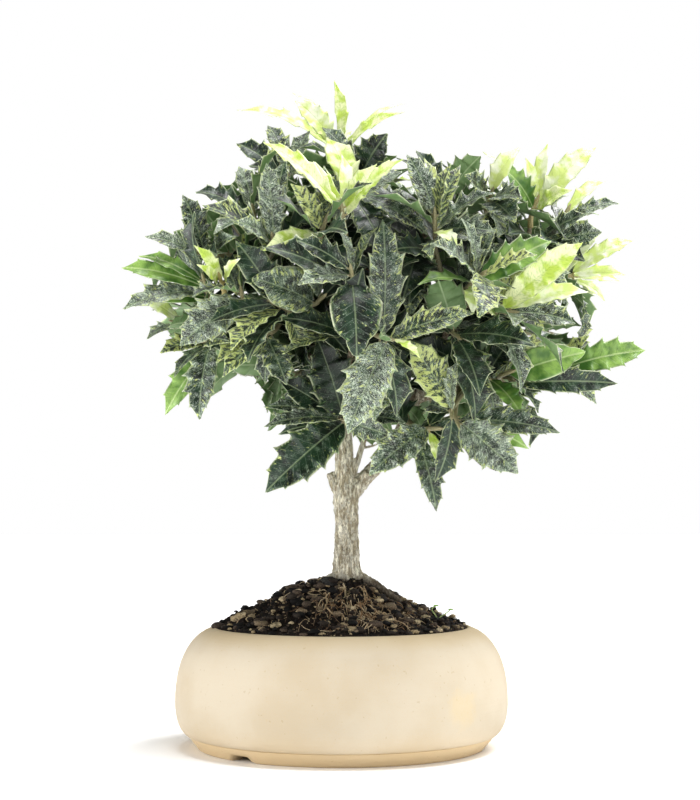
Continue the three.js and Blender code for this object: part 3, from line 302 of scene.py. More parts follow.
class Parcel:
    """Points, faces and attributes of many small shapes that make one piece."""

    def __init__(self):
        self.points, self.faces, self.layers = [], [], {}

    def add(self, points, faces, **layers):
        start = len(self.points)
        self.points.extend(points)
        self.faces.extend(tuple(corner + start for corner in face) for face in faces)
        for name, values in layers.items():
            self.layers.setdefault(name, []).extend(values)

    def add_coloured(self, points, faces, code):
        self.add(points, faces, tint=[rgb(code)] * len(points))

    def piece(self, name, material):
        return mesh_piece(name, self.points, self.faces, material, self.layers)


# Materials
class Wire:
    """A node's output. Plain arithmetic on it adds math nodes."""

    def __init__(self, nodes, socket):
        self.nodes, self.socket = nodes, socket

    def __add__(self, other):
        return self.nodes.math("ADD", self, other)

    def __sub__(self, other):
        return self.nodes.math("SUBTRACT", self, other)

    def __mul__(self, other):
        return self.nodes.math("MULTIPLY", self, other)


class Nodes:
    """Short calls that add nodes to a tree."""

    def __init__(self, tree):
        self.tree = tree

    def join(self, socket, value):
        """Sets a socket to a plain value, or links a wire to it."""
        if isinstance(value, Wire):
            self.tree.links.new(value.socket, socket)
        else:
            socket.default_value = value

    def node(self, kind, inputs, output=0, **settings):
        """One output of a new node."""
        node = self.tree.nodes.new("ShaderNode" + kind)
        for key, value in settings.items():
            setattr(node, key, value)
        for key, value in inputs.items():
            self.join(node.inputs[key], value)
        return Wire(self, node.outputs[output])

    def math(self, operation, *values):
        return self.node("Math", dict(enumerate(values)), operation=operation)

    def vectors(self, operation, first, second, output=0):
        return self.node("VectorMath", {0: first, 1: second}, output, operation=operation)

    def split(self, vector):
        """The three parts of a vector."""
        return [self.node("SeparateXYZ", {0: vector}, part) for part in range(3)]

    def joined(self, *parts):
        """A vector from three parts."""
        return self.node("CombineXYZ", dict(enumerate(parts)))

    def attribute(self, name, output="Vector"):
        return self.node("Attribute", {}, output, attribute_name=name)

    def place(self):
        """The point's place on the object, in millimetres."""
        return self.vectors("MULTIPLY", self.node("TexCoord", {}, "Object"), (1000, 1000, 1000))

    def grain(self, at, scale, detail=2.0, roughness=0.5, output="Fac"):
        inputs = {"Vector": at, "Scale": scale, "Detail": detail, "Roughness": roughness}
        return self.node("TexNoise", inputs, output)

    def warped(self, at, scale, reach):
        """The place shifted by up to reach, so that straight edges turn ragged."""
        swirl = self.grain(at, scale, 3.0, output="Color")
        centred = self.vectors("SUBTRACT", swirl, (0.5, 0.5, 0.5))
        return self.vectors("ADD", at, self.vectors("MULTIPLY", centred, [reach * 2] * 3))

    def cells(self, at, scale):
        """How far a place is from the edge of its cell, in a field of uneven cells."""
        inputs = {"Vector": at, "Scale": scale}
        return self.node("TexVoronoi", inputs, "Distance", feature="DISTANCE_TO_EDGE")

    def band(self, value, low, high):
        """0 below low, 1 above high, and smooth between. Low may be the larger."""
        inputs = {"Value": value, "From Min": low, "From Max": high}
        return self.node("MapRange", inputs, interpolation_type="SMOOTHSTEP")

    def blend(self, factor, first, second, kind="MIX"):
        inputs = {0: factor, 6: first, 7: second}
        return self.node("Mix", inputs, 2, data_type="RGBA", blend_type=kind)

    def between(self, value, low, high, first, second):
        """The first colour where the value is low, passing to the second where it is high."""
        return self.blend(self.band(value, low, high), rgb(first), rgb(second))

    def layered(self, base, *layers):
        """The base under layers of colour. Each has its mask, how far it covers and its colour."""
        for mask, cover, code in layers:
            base = self.blend(mask * cover, base, rgb(code))
        return base


class Paint(Nodes):
    """A new material and its nodes."""

    def __init__(self, name, specular, roughness=0.8):
        self.material = bpy.data.materials.new(name)
        self.material.use_nodes = True
        super().__init__(self.material.node_tree)
        self.surface = self.tree.nodes["Principled BSDF"]
        self.surface.inputs["Roughness"].default_value = roughness
        self.surface.inputs["Specular IOR Level"].default_value = specular

    def bump(self, height, strength, depth):
        """Relief with the given depth in millimetres."""
        inputs = {"Height": height, "Strength": strength, "Distance": depth * MM}
        self.join(self.surface.inputs["Normal"], self.node("Bump", inputs))

    def finish(self, colour, roughness=None):
        self.join(self.surface.inputs["Base Color"], colour)
        if roughness is not None:
            self.join(self.surface.inputs["Roughness"], roughness)
        return self.material


class LeafPaint(Paint):
    """Mottled blades, from attributes: where on the blade, which face, how deep in the crown's
    painted shade, and the leaf's tint.
    """

    def __init__(self):
        super().__init__("leaf", 0.42)
        offset, self.along, self.row = self.split(self.attribute("blade"))
        # The third part of part is how deep the point lies in the crown's painted shade
        self.upper, self.stem, self.depth = self.split(self.attribute("part"))
        self.youth, self.gold, self.grey = self.split(self.attribute("tint"))
        leaf_number = self.attribute("tint", "Alpha") * 400.0
        width = self.math("ABSOLUTE", offset)
        vein_run = self.along - width * 0.75
        spot = self.joined(offset, self.along, leaf_number)
        ripple = self.math("PINGPONG", vein_run + self.grain(spot, 0.2) * 2.5, 2.4)
        self.midrib = self.band(width, 0.75, 0.2)
        self.side_veins = self.band(ripple, 0.4, 0.05) * self.band(self.row, 0.98, 0.7)
        self.margin = self.band(self.row, 0.9, 0.99)
        self.broad = self.grain(spot, 0.13)
        self.cloud = self.grain(spot, 0.22, 3.0, 0.6)
        self.dust = self.grain(spot, 2.3, 2.0, 0.6)
        self.fine = self.grain(self.joined(offset * 0.45, vein_run, leaf_number), 1.15, 4.0, 0.7)
        self.marble = self.grain(self.joined(offset * 0.62, vein_run, leaf_number), 0.5, 5.0, 0.68)
        self.flecks = self.band(self.fine, 0.5, 0.62)

    def mature(self):
        """Deep green under a painted grey sheen, grey specks, white dust flecks that also paint
        sheen, and yellow marbling.
        """
        density = self.grey * 0.11 + self.cloud * 0.2 + self.row * 0.05 - 0.105
        # Painted sheen: clouds of pale grey-green standing in for the light's reflection on the blade
        painted_sheen = self.band(self.cloud + self.grey * 0.1, 0.5, 0.75)
        specks = self.band(self.fine + density, 0.66, 0.76)
        # White flecks: partly dust, partly a painted sheen
        dust_and_sheen = self.band(self.dust + density, 0.67, 0.76)
        edge = self.math("POWER", self.row, 3.0) * 0.12
        patches = self.band(self.marble + edge + self.gold * 0.15, 0.65, 0.735)
        return self.layered(
            self.between(self.broad, 0.35, 0.65, 0x07110A, 0x15301B),
            (painted_sheen, 0.26, 0x86A080),
            (specks, 0.75, 0xCFE0BE),
            (dust_and_sheen, 0.6, 0xEFF6EA),
            (patches, 0.88, 0xCAD582),
            (self.side_veins, 0.22, 0x7F967C),
            (self.midrib, 0.36, 0xA6B98A),
            (self.margin, 0.85, 0xE3E8C2),
        )

    def fresh(self):
        """Plain green, lighter towards the tip."""
        outward = self.broad + self.along * 0.008
        return self.layered(
            self.between(outward, 0.45, 0.9, 0x3B6422, 0x8CAF55),
            (self.flecks, 0.35, 0x3B6230),
            (self.midrib, 0.45, 0xC9DC9C),
            (self.margin, 0.8, 0xE2EBC0),
        )

    def young(self):
        """Yellow-green clouded with cream."""
        return self.layered(
            self.between(self.broad, 0.38, 0.6, 0xBFD858, 0xEFF5BE),
            (self.flecks, 0.45, 0x86AB39),
            (self.margin, 0.6, 0xEDF2C4),
        )

    def pale(self):
        """Nearly white new growth."""
        base = self.between(self.broad, 0.42, 0.62, 0xD8E98A, 0xF2F7D8)
        return self.layered(base, (self.flecks, 0.22, 0xB4D05C))

    def underside(self):
        """Matt mid green, paler on young leaves."""
        return self.layered(
            self.between(self.broad, 0.35, 0.65, 0x64834F, 0x7D9A66),
            (self.midrib, 0.6, 0xB2C698),
            (self.margin, 0.7, 0xDDE6BE),
            (self.band(self.youth, 0.45, 0.95), 1.0, 0xDDE9A8),
        )

    def twig(self):
        """Stems and petioles: grey-brown, yellower under young leaves."""
        base = self.between(self.dust, 0.4, 0.6, 0x77704F, 0xB3AC84)
        return self.layered(base, (self.band(self.youth, 0.5, 0.9), 0.6, 0xB5A05C))

    def made(self):
        """The blade by its age and face, then the twigs, then a painted shade that darkens what lies
        deep inside the crown.
        """
        top = self.blend(self.band(self.youth, 0.15, 0.4), self.mature(), self.fresh())
        top = self.blend(self.band(self.youth, 0.5, 0.72), top, self.young())
        top = self.blend(self.band(self.youth, 0.78, 0.98), top, self.pale())
        blade = self.blend(self.upper, self.underside(), top)
        colour = self.blend(self.stem, blade, self.twig())
        self.bump(self.midrib * -1.0 + self.side_veins * -0.45 + self.fine * 0.5, 0.6, 0.35)
        roughness = self.upper * -0.26 + self.dust * 0.12 + 0.58
        # Painted shade: leaves and twigs deep inside the crown are darkened towards near black
        return self.finish(self.layered(colour, (self.depth, 0.72, 0x0A120B)), roughness)


def clay_material():
    """Cream unglazed clay: soft clouds, fine specks, turning lines and a faint stain, with painted
    light on the foot and painted shade on the rim.
    """
    paint = Paint("clay", 0.22)
    at = paint.place()
    height = paint.split(at)[2]
    from_stain = paint.vectors("DISTANCE", at, (69.0, -72.0, 31.0), "Value")
    lines = paint.grain(paint.vectors("MULTIPLY", at, (0.004, 0.004, 0.9)), 1.0, 3.0)
    fine = paint.grain(at, 1.6, 4.0, 0.6)
    low = paint.band(height, 24.0, 2.0)
    # Painted light: the foot is lightened and warmed where the belly's shade falls on it
    foot = paint.band(height, 9.2, 7.8)
    # Painted shade: the rim, which faces the light overhead, is darkened and browned
    painted_rim_shade = paint.band(height, 62.0, 71.0)
    sand = paint.band(paint.grain(at, 1.3, 3.0), 0.52, 0.7)
    specks = paint.band(paint.grain(at, 0.42, 1.0), 0.735, 0.76)
    stain = paint.band(from_stain + paint.grain(at, 0.15, 3.0) * 14.0, 21.0, 13.0)
    colour = paint.layered(
        paint.between(paint.grain(at, 0.02, 4.0), 0.35, 0.65, 0xBEAF96, 0xC6BAA5),
        (low, 0.22, 0xCDB083),
        (foot, 0.7, 0xD2B98F),
        (painted_rim_shade, 0.45, 0xC6AE82),
        (sand, 0.16, 0xC7A878),
        (specks, 0.25, 0x9A7B50),
        (stain, 0.18, 0xDFC07A),
    )
    paint.bump(lines * 0.6 + fine * 0.5, 0.5, 0.3)
    return paint.finish(colour, fine * 0.15 + 0.66)


def soil_material():
    """Dark damp compost with brown fibres."""
    paint = Paint("soil", 0.12)
    at = paint.place()
    lumps = paint.grain(at, 0.35, 4.0)
    fine = paint.grain(at, 1.4, 4.0, 0.65)
    base = paint.between(lumps, 0.38, 0.62, 0x060403, 0x1A130E)
    fibres = paint.band(fine, 0.55, 0.7)
    paint.bump(lumps + fine * 0.7, 0.9, 1.2)
    return paint.finish(paint.layered(base, (fibres, 0.5, 0x6B5440)), fine * 0.25 + 0.65)


def litter_material():
    """Crumbs, pebbles, grit and root fibres, each with its own colour."""
    paint = Paint("litter", 0.2)
    fine = paint.grain(paint.place(), 1.1, 4.0, 0.6)
    shade = paint.between(fine, 0.3, 0.7, 0x8C8C8C, 0xFFFFFF)
    paint.bump(fine, 0.7, 0.5)
    colour = paint.blend(1.0, paint.attribute("tint", "Color"), shade, "MULTIPLY")
    return paint.finish(colour, fine * 0.2 + 0.7)


def bark_material():
    """Pale beige-grey bark with dark cracks, browner on the thin limbs."""
    paint = Paint("bark", 0.2)
    at = paint.place()
    height = paint.split(at)[2]
    drawn_out = paint.vectors("MULTIPLY", at, (1.0, 1.0, 0.28))
    plates = paint.grain(drawn_out, 0.42, 6.0, 0.7)
    fine = paint.grain(drawn_out, 1.5, 4.0, 0.7)
    cracks = paint.band(paint.cells(paint.warped(drawn_out, 1.1, 1.6), 0.4), 0.16, 0.04)
    lichen = paint.band(paint.grain(at, 0.19, 3.0), 0.58, 0.66)
    colour = paint.layered(
        paint.between(plates, 0.42, 0.58, 0xB2A68B, 0xF2ECD7),
        (cracks, 0.4, 0x5A5143),
        (paint.band(fine, 0.48, 0.38), 0.6, 0x4A4135),
        (lichen, 0.4, 0xD5D3C4),
    )
    limb_brown = paint.between(fine, 0.4, 0.6, 0x5E4C39, 0x9B876C)
    colour = paint.blend(paint.band(height, 185.0, 235.0) * 0.75, colour, limb_brown)
    # Darker at the trunk's foot, just above the soil
    trunk_foot_darkening = paint.band(height, 105.0, 98.0)
    paint.bump(plates + fine * 0.8 - cracks * 0.5, 1.0, 1.1)
    return paint.finish(paint.layered(colour, (trunk_foot_darkening, 0.85, 0x4B3D30)), fine * 0.2 + 0.7)


def net_material():
    """Black woven plastic net."""
    paint = Paint("net", 0.4)
    fine = paint.grain(paint.place(), 1.5, 3.0)
    paint.bump(fine, 0.4, 0.2)
    return paint.finish(paint.blend(fine, rgb(0x1E1E20), rgb(0x38383B)), fine + 0.1)


def floor_material():
    """A plain pale floor with a barely uneven colour."""
    paint = Paint("floor", 0.1, roughness=0.9)
    clouds = paint.grain(paint.place(), 0.01)
    return paint.finish(paint.blend(clouds, rgb(0xFEFEFE), rgb(0xFFFFFF)))


LEAF = LeafPaint().made()
CLAY = clay_material()
SOIL = soil_material()
LITTER = litter_material()
BARK = bark_material()
NET = net_material()


# The pot
def squared_circle(share):
    return max(0.0, 1 - share**WALL_POWER) ** (1 / WALL_POWER)


def outer_radius(height):
    if height <= BELLY_HEIGHT:
        start = FOOT_RADIUS + FOOT_STEP
        share = (BELLY_HEIGHT - height) / (BELLY_HEIGHT - FOOT_HEIGHT)
        return start + (POT_RADIUS - start) * squared_circle(share)
    share = (height - BELLY_HEIGHT) / (POT_HEIGHT - BELLY_HEIGHT)
    return RIM_RADIUS + (POT_RADIUS - RIM_RADIUS) * squared_circle(share)


def inner_radius(height):
    widest = POT_RADIUS - WALL_THICKNESS
    if height <= BELLY_HEIGHT:
        share = (BELLY_HEIGHT - height) / (BELLY_HEIGHT - FLOOR_TOP)
        return FLOOR_RADIUS + (widest - FLOOR_RADIUS) * squared_circle(share)
    share = (height - BELLY_HEIGHT) / (LIP_HEIGHT - BELLY_HEIGHT)
    return MOUTH_RADIUS - 1 + (widest - MOUTH_RADIUS + 1) * squared_circle(share)


def wall_heights(low, high, middle, count):
    """Heights up the wall, closer together towards its two ends."""
    turns = [math.pi / 2 * k / count for k in range(count + 1)]
    lower = [middle - (middle - low) * math.cos(turn) for turn in turns[:-1]]
    return lower + [middle + (high - middle) * math.sin(turn) for turn in turns]


def wall_shows(radius, height):
    """Whether a place on the wall is outside the foot's band and the rim."""
    if height < BELLY_HEIGHT:
        return radius > FOOT_RADIUS + FOOT_FLARE + 0.5
    return radius > MOUTH_RADIUS + 1.5


def pot_profile():
    """[radius, height] from the middle of the underside, round the wall and rim, to the floor."""
    heights = wall_heights(FOOT_HEIGHT + 0.3, POT_HEIGHT - 0.2, BELLY_HEIGHT, 14)
    outside = [(outer_radius(h), h) for h in heights if wall_shows(outer_radius(h), h)]
    heights = wall_heights(FLOOR_TOP, LIP_HEIGHT, BELLY_HEIGHT, 8)
    inside = [(inner_radius(h), h) for h in heights[::-1]]
    rim = []
    for k in range(RIM_STEPS + 1):
        inward, up = around(RIM_ROUND, math.pi / 2 * (1 - k / RIM_STEPS))
        rim.append((MOUTH_RADIUS + 0.4 - inward, POT_HEIGHT - RIM_ROUND + up))
    ring = [
        (FOOT_INNER_RADIUS, UNDERSIDE_RECESS), (FOOT_INNER_RADIUS + 1.2, 0.8),
        (FOOT_INNER_RADIUS + 2.2, 0), (FOOT_RADIUS - 1.6, 0), (FOOT_RADIUS - 0.4, 0.5),
        (FOOT_RADIUS + 0.2, 1.6), (FOOT_RADIUS + FOOT_FLARE - 2, FOOT_HEIGHT - 2.2),
        (FOOT_RADIUS + FOOT_FLARE - 0.3, FOOT_HEIGHT + 0.4),
        (FOOT_RADIUS + FOOT_FLARE, FOOT_HEIGHT + 0.9),
        (FOOT_RADIUS + FOOT_FLARE - 0.3, FOOT_HEIGHT + 1.2),
    ]
    underside = [(0, UNDERSIDE_RECESS), (DRAIN_SPACING / 2 + 2, UNDERSIDE_RECESS)]
    floor = [(DRAIN_SPACING / 2 + 2, FLOOR_TOP), (0, FLOOR_TOP)]
    return [*underside, *ring, *outside, *rim, *inside, *floor]


def notch_lift(angle, radius, height):
    """How far a notch raises the foot's lower edge."""
    if radius < FOOT_INNER_RADIUS or height >= NOTCH_HEIGHT:
        return 0
    for middle in NOTCH_ANGLES:
        turn = (angle - math.radians(middle) + math.pi) % math.tau - math.pi
        aside = abs(turn) * FOOT_RADIUS / (NOTCH_WIDTH / 2)
        if aside < NOTCH_END:
            return (NOTCH_HEIGHT - height) * clamp((NOTCH_END - aside) / NOTCH_SLOPE)
    return 0


def turned(profile, sides, shift):
    """Points and faces of a profile turned round the axis, from pole to pole."""
    points = [(0, 0, profile[0][1])]
    for radius, height in profile[1:-1]:
        for k in range(sides):
            angle = math.tau * k / sides
            points.append((*around(radius, angle), height + shift(angle, radius, height)))
    points.append((0, 0, profile[-1][1]))
    faces = [(0, 1 + (k + 1) % sides, 1 + k) for k in range(sides)]
    for ring in range(len(profile) - 3):
        faces += ring_faces(1 + ring * sides, 1 + (ring + 1) * sides, sides)
    first, last = 1 + (len(profile) - 3) * sides, len(points) - 1
    faces += [(first + k, first + (k + 1) % sides, last) for k in range(sides)]
    return points, faces


def applied(piece):
    """Fixes a piece's modifiers into its mesh."""
    graph = bpy.context.evaluated_depsgraph_get()
    fixed = bpy.data.meshes.new_from_object(piece.evaluated_get(graph))
    piece.modifiers.clear()
    piece.data = fixed


def make_pot():
    pot = mesh_piece("pot_clay_body", *turned(pot_profile(), POT_SIDES, notch_lift), CLAY)
    for side in (-1, 1):
        bpy.ops.mesh.primitive_cylinder_add(
            vertices=48, radius=DRAIN_RADIUS * MM, depth=0.04,
            location=(side * DRAIN_SPACING / 2 * MM, 0, 0),
        )
        cutter = bpy.context.object
        cut = pot.modifiers.new("drain", "BOOLEAN")
        cut.object = cutter
        cut.operation = "DIFFERENCE"
        applied(pot)
        bpy.data.objects.remove(cutter)
    pot.data.shade_smooth()
    pot.data.set_sharp_from_angle(angle=math.radians(50))
    return pot


# The soil
def mound_height(x, y):
    """The bare heap, which is fuller on its left."""
    radius = math.hypot(x, y)
    share = clamp((radius - SOIL_PEAK_RADIUS) / (MOUTH_RADIUS - SOIL_PEAK_RADIUS))
    left = clamp(-x / 30)
    shoulder = SOIL_SHOULDER * left * math.exp(-(((radius - 32) / 13) ** 2))
    return SOIL_RIM + (SOIL_TOP - SOIL_RIM) * (1 - share ** (0.8 + 0.2 * left)) + shoulder


def soil_height(x, y):
    """The heap's surface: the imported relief, with lumps and grains on it."""
    relief = 1.1 * math.sin(0.21 * x + 1.3) * math.cos(0.27 * y)
    relief += 0.7 * math.sin(0.5 * x - 0.4 * y)
    lumps = 2.3 * noise.fractal(Vector((x * 0.16, y * 0.16, 3.0)), 0.9, 2.0, 4)
    grains = 1.5 * noise.noise(Vector((x * 0.62, y * 0.62, 9.0)))
    fade = clamp((MOUTH_RADIUS - 1.6 - math.hypot(x, y)) / 6)
    return mound_height(x, y) + fade * (relief + lumps + grains) - 0.8


def heap_shift(angle, radius, height):
    """The surface's rings, which have no height of their own, lie on the heap."""
    return 0 if height else soil_height(*around(radius, angle))


def make_soil():
    heights = (NET_TOP, 18, 28, 46, 58, 67)
    wall = [(inner_radius(min(h, LIP_HEIGHT)) - 0.4, h) for h in heights]
    surface = [(SOIL_RING_STEP * k, 0) for k in range(SOIL_RINGS, 0, -1)]
    profile = [(0, NET_TOP), *wall, *surface, (0, soil_height(0, 0))]
    return mesh_piece("soil_heap", *turned(profile, SOIL_SIDES, heap_shift), SOIL)


def ball_shape(level):
    """Points and faces of a unit ball with 20 faces, or 80 at level 2."""
    ball = bmesh.new()
    bmesh.ops.create_icosphere(ball, subdivisions=level, radius=1)
    points = np.array([v.co for v in ball.verts])
    faces = [tuple(v.index for v in f.verts) for f in ball.faces]
    ball.free()
    return points, faces


SMALL_BALL = ball_shape(1)
LARGE_BALL = ball_shape(2)

# The colours of crumbs, each with its share
CRUMB_COLOURS = [
    (0x0C0907, 30), (0x2C241D, 24), (0x574A3D, 20), (0x7F6E57, 13), (0xAB9875, 8),
    (PALE_GRIT, 5), (WHITE_GRIT, 1),
]
ROOT_COLOURS = [0xC9AE88, 0x9A7A58, 0xE0CAA4, 0x7A6450]

# Each clod: its place with its lift, its half-sizes and its colour
CLODS = [
    ((-73.5, -14, 0.9), (4.6, 3.4, 2.5), 0x4A3F36),
    ((-8.5, -13, -1.2), (5.6, 4.4, 4.6), 0x3A3936),
    ((-56, -22, 0.8), (5.2, 4.0, 4.2), 0x6E5F49),
    ((-34, -34, 0.6), (2.6, 2.2, 2.0), 0x8D7C60),
    ((-38, -56, 0.6), (2.8, 2.4, 1.9), 0xA79877),
    ((-29, -26, 1.2), (3.4, 3.0, 2.6), 0x3B332B),
    ((-20, -40, 0.8), (2.9, 2.3, 2.2), 0x55493C),
]

# Each stalk of the seedling, as places measured from its foot
SEEDLING_FOOT = (57, -26)
SEEDLING = [
    [(0, 0, 0), (-1.5, 0, 3.0), (-3.6, 0, 6.5), (-1.2, 0, 8.6)],
    [(0, 0, 0), (1.5, -1, 2.2), (4.5, -1, 4.0), (7.5, -1, 6.5)],
]


def on_soil(x, y, lift):
    return np.array([x, y, soil_height(x, y) + lift])


def lump(ball, sizes, unevenness, draw):
    """A ball's points at the given half-sizes, each moved in or out a little."""
    swells = np.array([1 + wander(draw, unevenness) for _ in ball])
    return ball * sizes * swells[:, None]


def crumb_colour(colours, large, draw):
    """A drawn colour. Large lumps are never white."""
    code = draw.choice(colours)
    return PALE_GRIT if large and code == WHITE_GRIT else code


def add_crumbs(parcel, draw):
    colours = [code for code, share in CRUMB_COLOURS for _ in range(share)]
    for number in range(CRUMB_COUNT):
        angle = math.tau * draw.random()
        radius = (MOUTH_RADIUS - 2) * math.sqrt(draw.random())
        size = 0.45 + 1.5 * draw.random() ** 3
        if number % LUMP_EVERY == 0:
            size = 1.5 + 2.1 * draw.random() ** 1.5
        large = size > LUMP_SIZE
        ball, faces = LARGE_BALL if large else SMALL_BALL
        if radius > MOUTH_RADIUS - 6:
            size = min(size, 1.9)
        sizes = size * np.array([0.7 + 0.9 * draw.random(), 0.7 + 0.5 * draw.random(), 0.65])
        body = lump(ball, sizes, 0.45, draw)
        c, s = around(1, math.tau * draw.random())
        spun = body @ np.array([[c, s, 0], [-s, c, 0], [0, 0, 1]])
        place = on_soil(*around(radius, angle), 0.25 * size)
        parcel.add_coloured(spun + place, faces, crumb_colour(colours, large, draw))


def root_path(number, draw):
    """The wandering path of one root over the heap, and its girth."""
    front = number % 3 > 0
    angle = math.radians(-108 + 66 * draw.random()) if front else math.tau * draw.random()
    at = np.array(around(18 + 44 * draw.random(), angle))
    heading = angle + wander(draw, 2.0 if front else 3.6)
    girth = 0.18 + 0.34 * draw.random() ** 2
    height = 0.3 + 0.5 * draw.random()
    path = []
    for step in range(9 + int(8 * draw.random())):
        if math.hypot(*at) > MOUTH_RADIUS - 5:
            break
        path.append(on_soil(*at, height * (0.6 + abs(math.sin(0.7 * step + number)))))
        heading += wander(draw, 0.9)
        at = at + around(2.4, heading)
    return path, girth


def add_roots(parcel, draw):
    """Fine tan roots that lie over the heap, most of them at the front and right."""
    for number in range(ROOT_COUNT):
        path, girth = root_path(number, draw)
        if len(path) < 4:
            continue
        radii = np.linspace(girth, girth * 0.45, len(path))
        points, faces = tube(*smooth_path(path, radii, 1.3), ROOT_SIDES)
        parcel.add_coloured(points, faces, draw.choice(ROOT_COLOURS))


def add_clods(parcel, draw):
    """The clods that stand out: at the trunk's foot, on the left slope and on the rim."""
    ball, faces = LARGE_BALL
    for place, sizes, code in CLODS:
        parcel.add_coloured(lump(ball, sizes, 0.3, draw) + on_soil(*place), faces, code)


def add_seedling(parcel):
    """A green seedling near the rim on the right: two stalks with small round leaves."""
    ball, sides = LARGE_BALL
    for stalk in SEEDLING:
        path = on_soil(*SEEDLING_FOOT, 0) + np.array(stalk)
        points, faces = tube(*smooth_path(path, [0.35] * len(path), 1.0), ROOT_SIDES)
        parcel.add_coloured(points, faces, STALK_GREEN)
        parcel.add_coloured(ball * (1.7, 1.2, 0.5) + path[-1], sides, SEEDLING_GREEN)


def make_litter():
    draw = random.Random(5)
    parcel = Parcel()
    add_crumbs(parcel, draw)
    add_roots(parcel, draw)
    add_clods(parcel, draw)
    add_seedling(parcel)
    return parcel.piece("soil_crumbs_and_roots", LITTER)


# The wood
def bark_relief(at):
    """How far the bark stands out at a place: ridges, cracks and flakes along the trunk."""
    on_trunk = clamp((182 - at.z) / 30) * clamp((26 - abs(at.x - TRUNK_MIDDLE)) / 12)
    ridges = noise.fractal(Vector((at.x * 0.3, at.y * 0.3, at.z * 0.085)), 0.8, 2.1, 4)
    cracks = -abs(noise.noise(Vector((at.x * 0.75, at.y * 0.75, at.z * 0.2))))
    flakes = noise.noise(Vector((at.x * 0.95, at.y * 0.95, at.z * 0.42)))
    depth = TWIG_BARK_DEPTH + (BARK_DEPTH - TWIG_BARK_DEPTH) * on_trunk
    return depth * (ridges + 0.9 * cracks + 0.75 * flakes + 0.25)


def joined_up(data):
    """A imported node's mesh for reading or editing, with its corners joined up."""
    shape = bmesh.new()
    shape.from_mesh(data)
    bmesh.ops.remove_doubles(shape, verts=shape.verts, dist=SEAM * MM)
    return shape


def make_wood():
    """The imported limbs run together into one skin, with bark relief on it."""
    wood = linked("bark_and_limbs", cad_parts["wood"].data.copy())
    shape = joined_up(wood.data)
    shape.to_mesh(wood.data)
    shape.free()
    skin = wood.modifiers.new("skin", "REMESH")
    skin.mode = "VOXEL"
    skin.voxel_size = WOOD_VOXEL * MM
    soft = wood.modifiers.new("soft", "SMOOTH")
    soft.iterations = 4
    soft.factor = 0.5
    applied(wood)
    mesh = wood.data
    places = np.array([vertex.co for vertex in mesh.vertices])
    normals = np.array([vertex.normal for vertex in mesh.vertices])
    relief = np.array([bark_relief(Vector(place) / MM) for place in places])
    mesh.vertices.foreach_set("co", (places + normals * relief[:, None] * MM).ravel())
    mesh.update()
    mesh.materials.clear()
    mesh.materials.append(BARK)
    mesh.shade_smooth()
    return wood


# Leaf outlines: [share of the length, share of the half breadth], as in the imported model.
# On the toothed ones every second place is a spine, and the places between are the bays.
LEAF_FORMS = {
    "spiny": [(0.2, 0.6), (0.36, 0.97), (0.41, 0.7), (0.59, 1), (0.64, 0.62), (0.8, 0.66)],
    "broad": [
        (0.16, 0.62), (0.27, 0.9), (0.32, 0.7), (0.47, 1), (0.52, 0.72), (0.67, 0.9), (0.71, 0.5),
        (0.85, 0.5),
    ],
    "slim": [(0.22, 0.66), (0.44, 1), (0.49, 0.72), (0.71, 0.8)],
    "entire": [(0.16, 0.68), (0.38, 1), (0.64, 0.86), (0.84, 0.42)],
}

# What each tone looks like: (youth, gold, grey)
# Grey above 0 raises the specks and the painted sheen; below 0, as on deep leaves, it lowers them, a
# painted shade
TONES = {
    "deep": (0.0, 0.0, -1.0), "dark": (0.0, 0.15, 0.1), "grey": (0.0, 0.35, 1.0),
    "gold": (0.0, 1.0, 0.6), "green": (0.42, 0.3, 0.0), "cream": (0.7, 0.8, 0.3),
    "young": (0.76, 0.5, 0.0), "pale": (1.0, 0.5, 0.0),
}
MATURE_TONES = ["dark", "dark", "dark", "grey", "grey", "grey", "gold"]

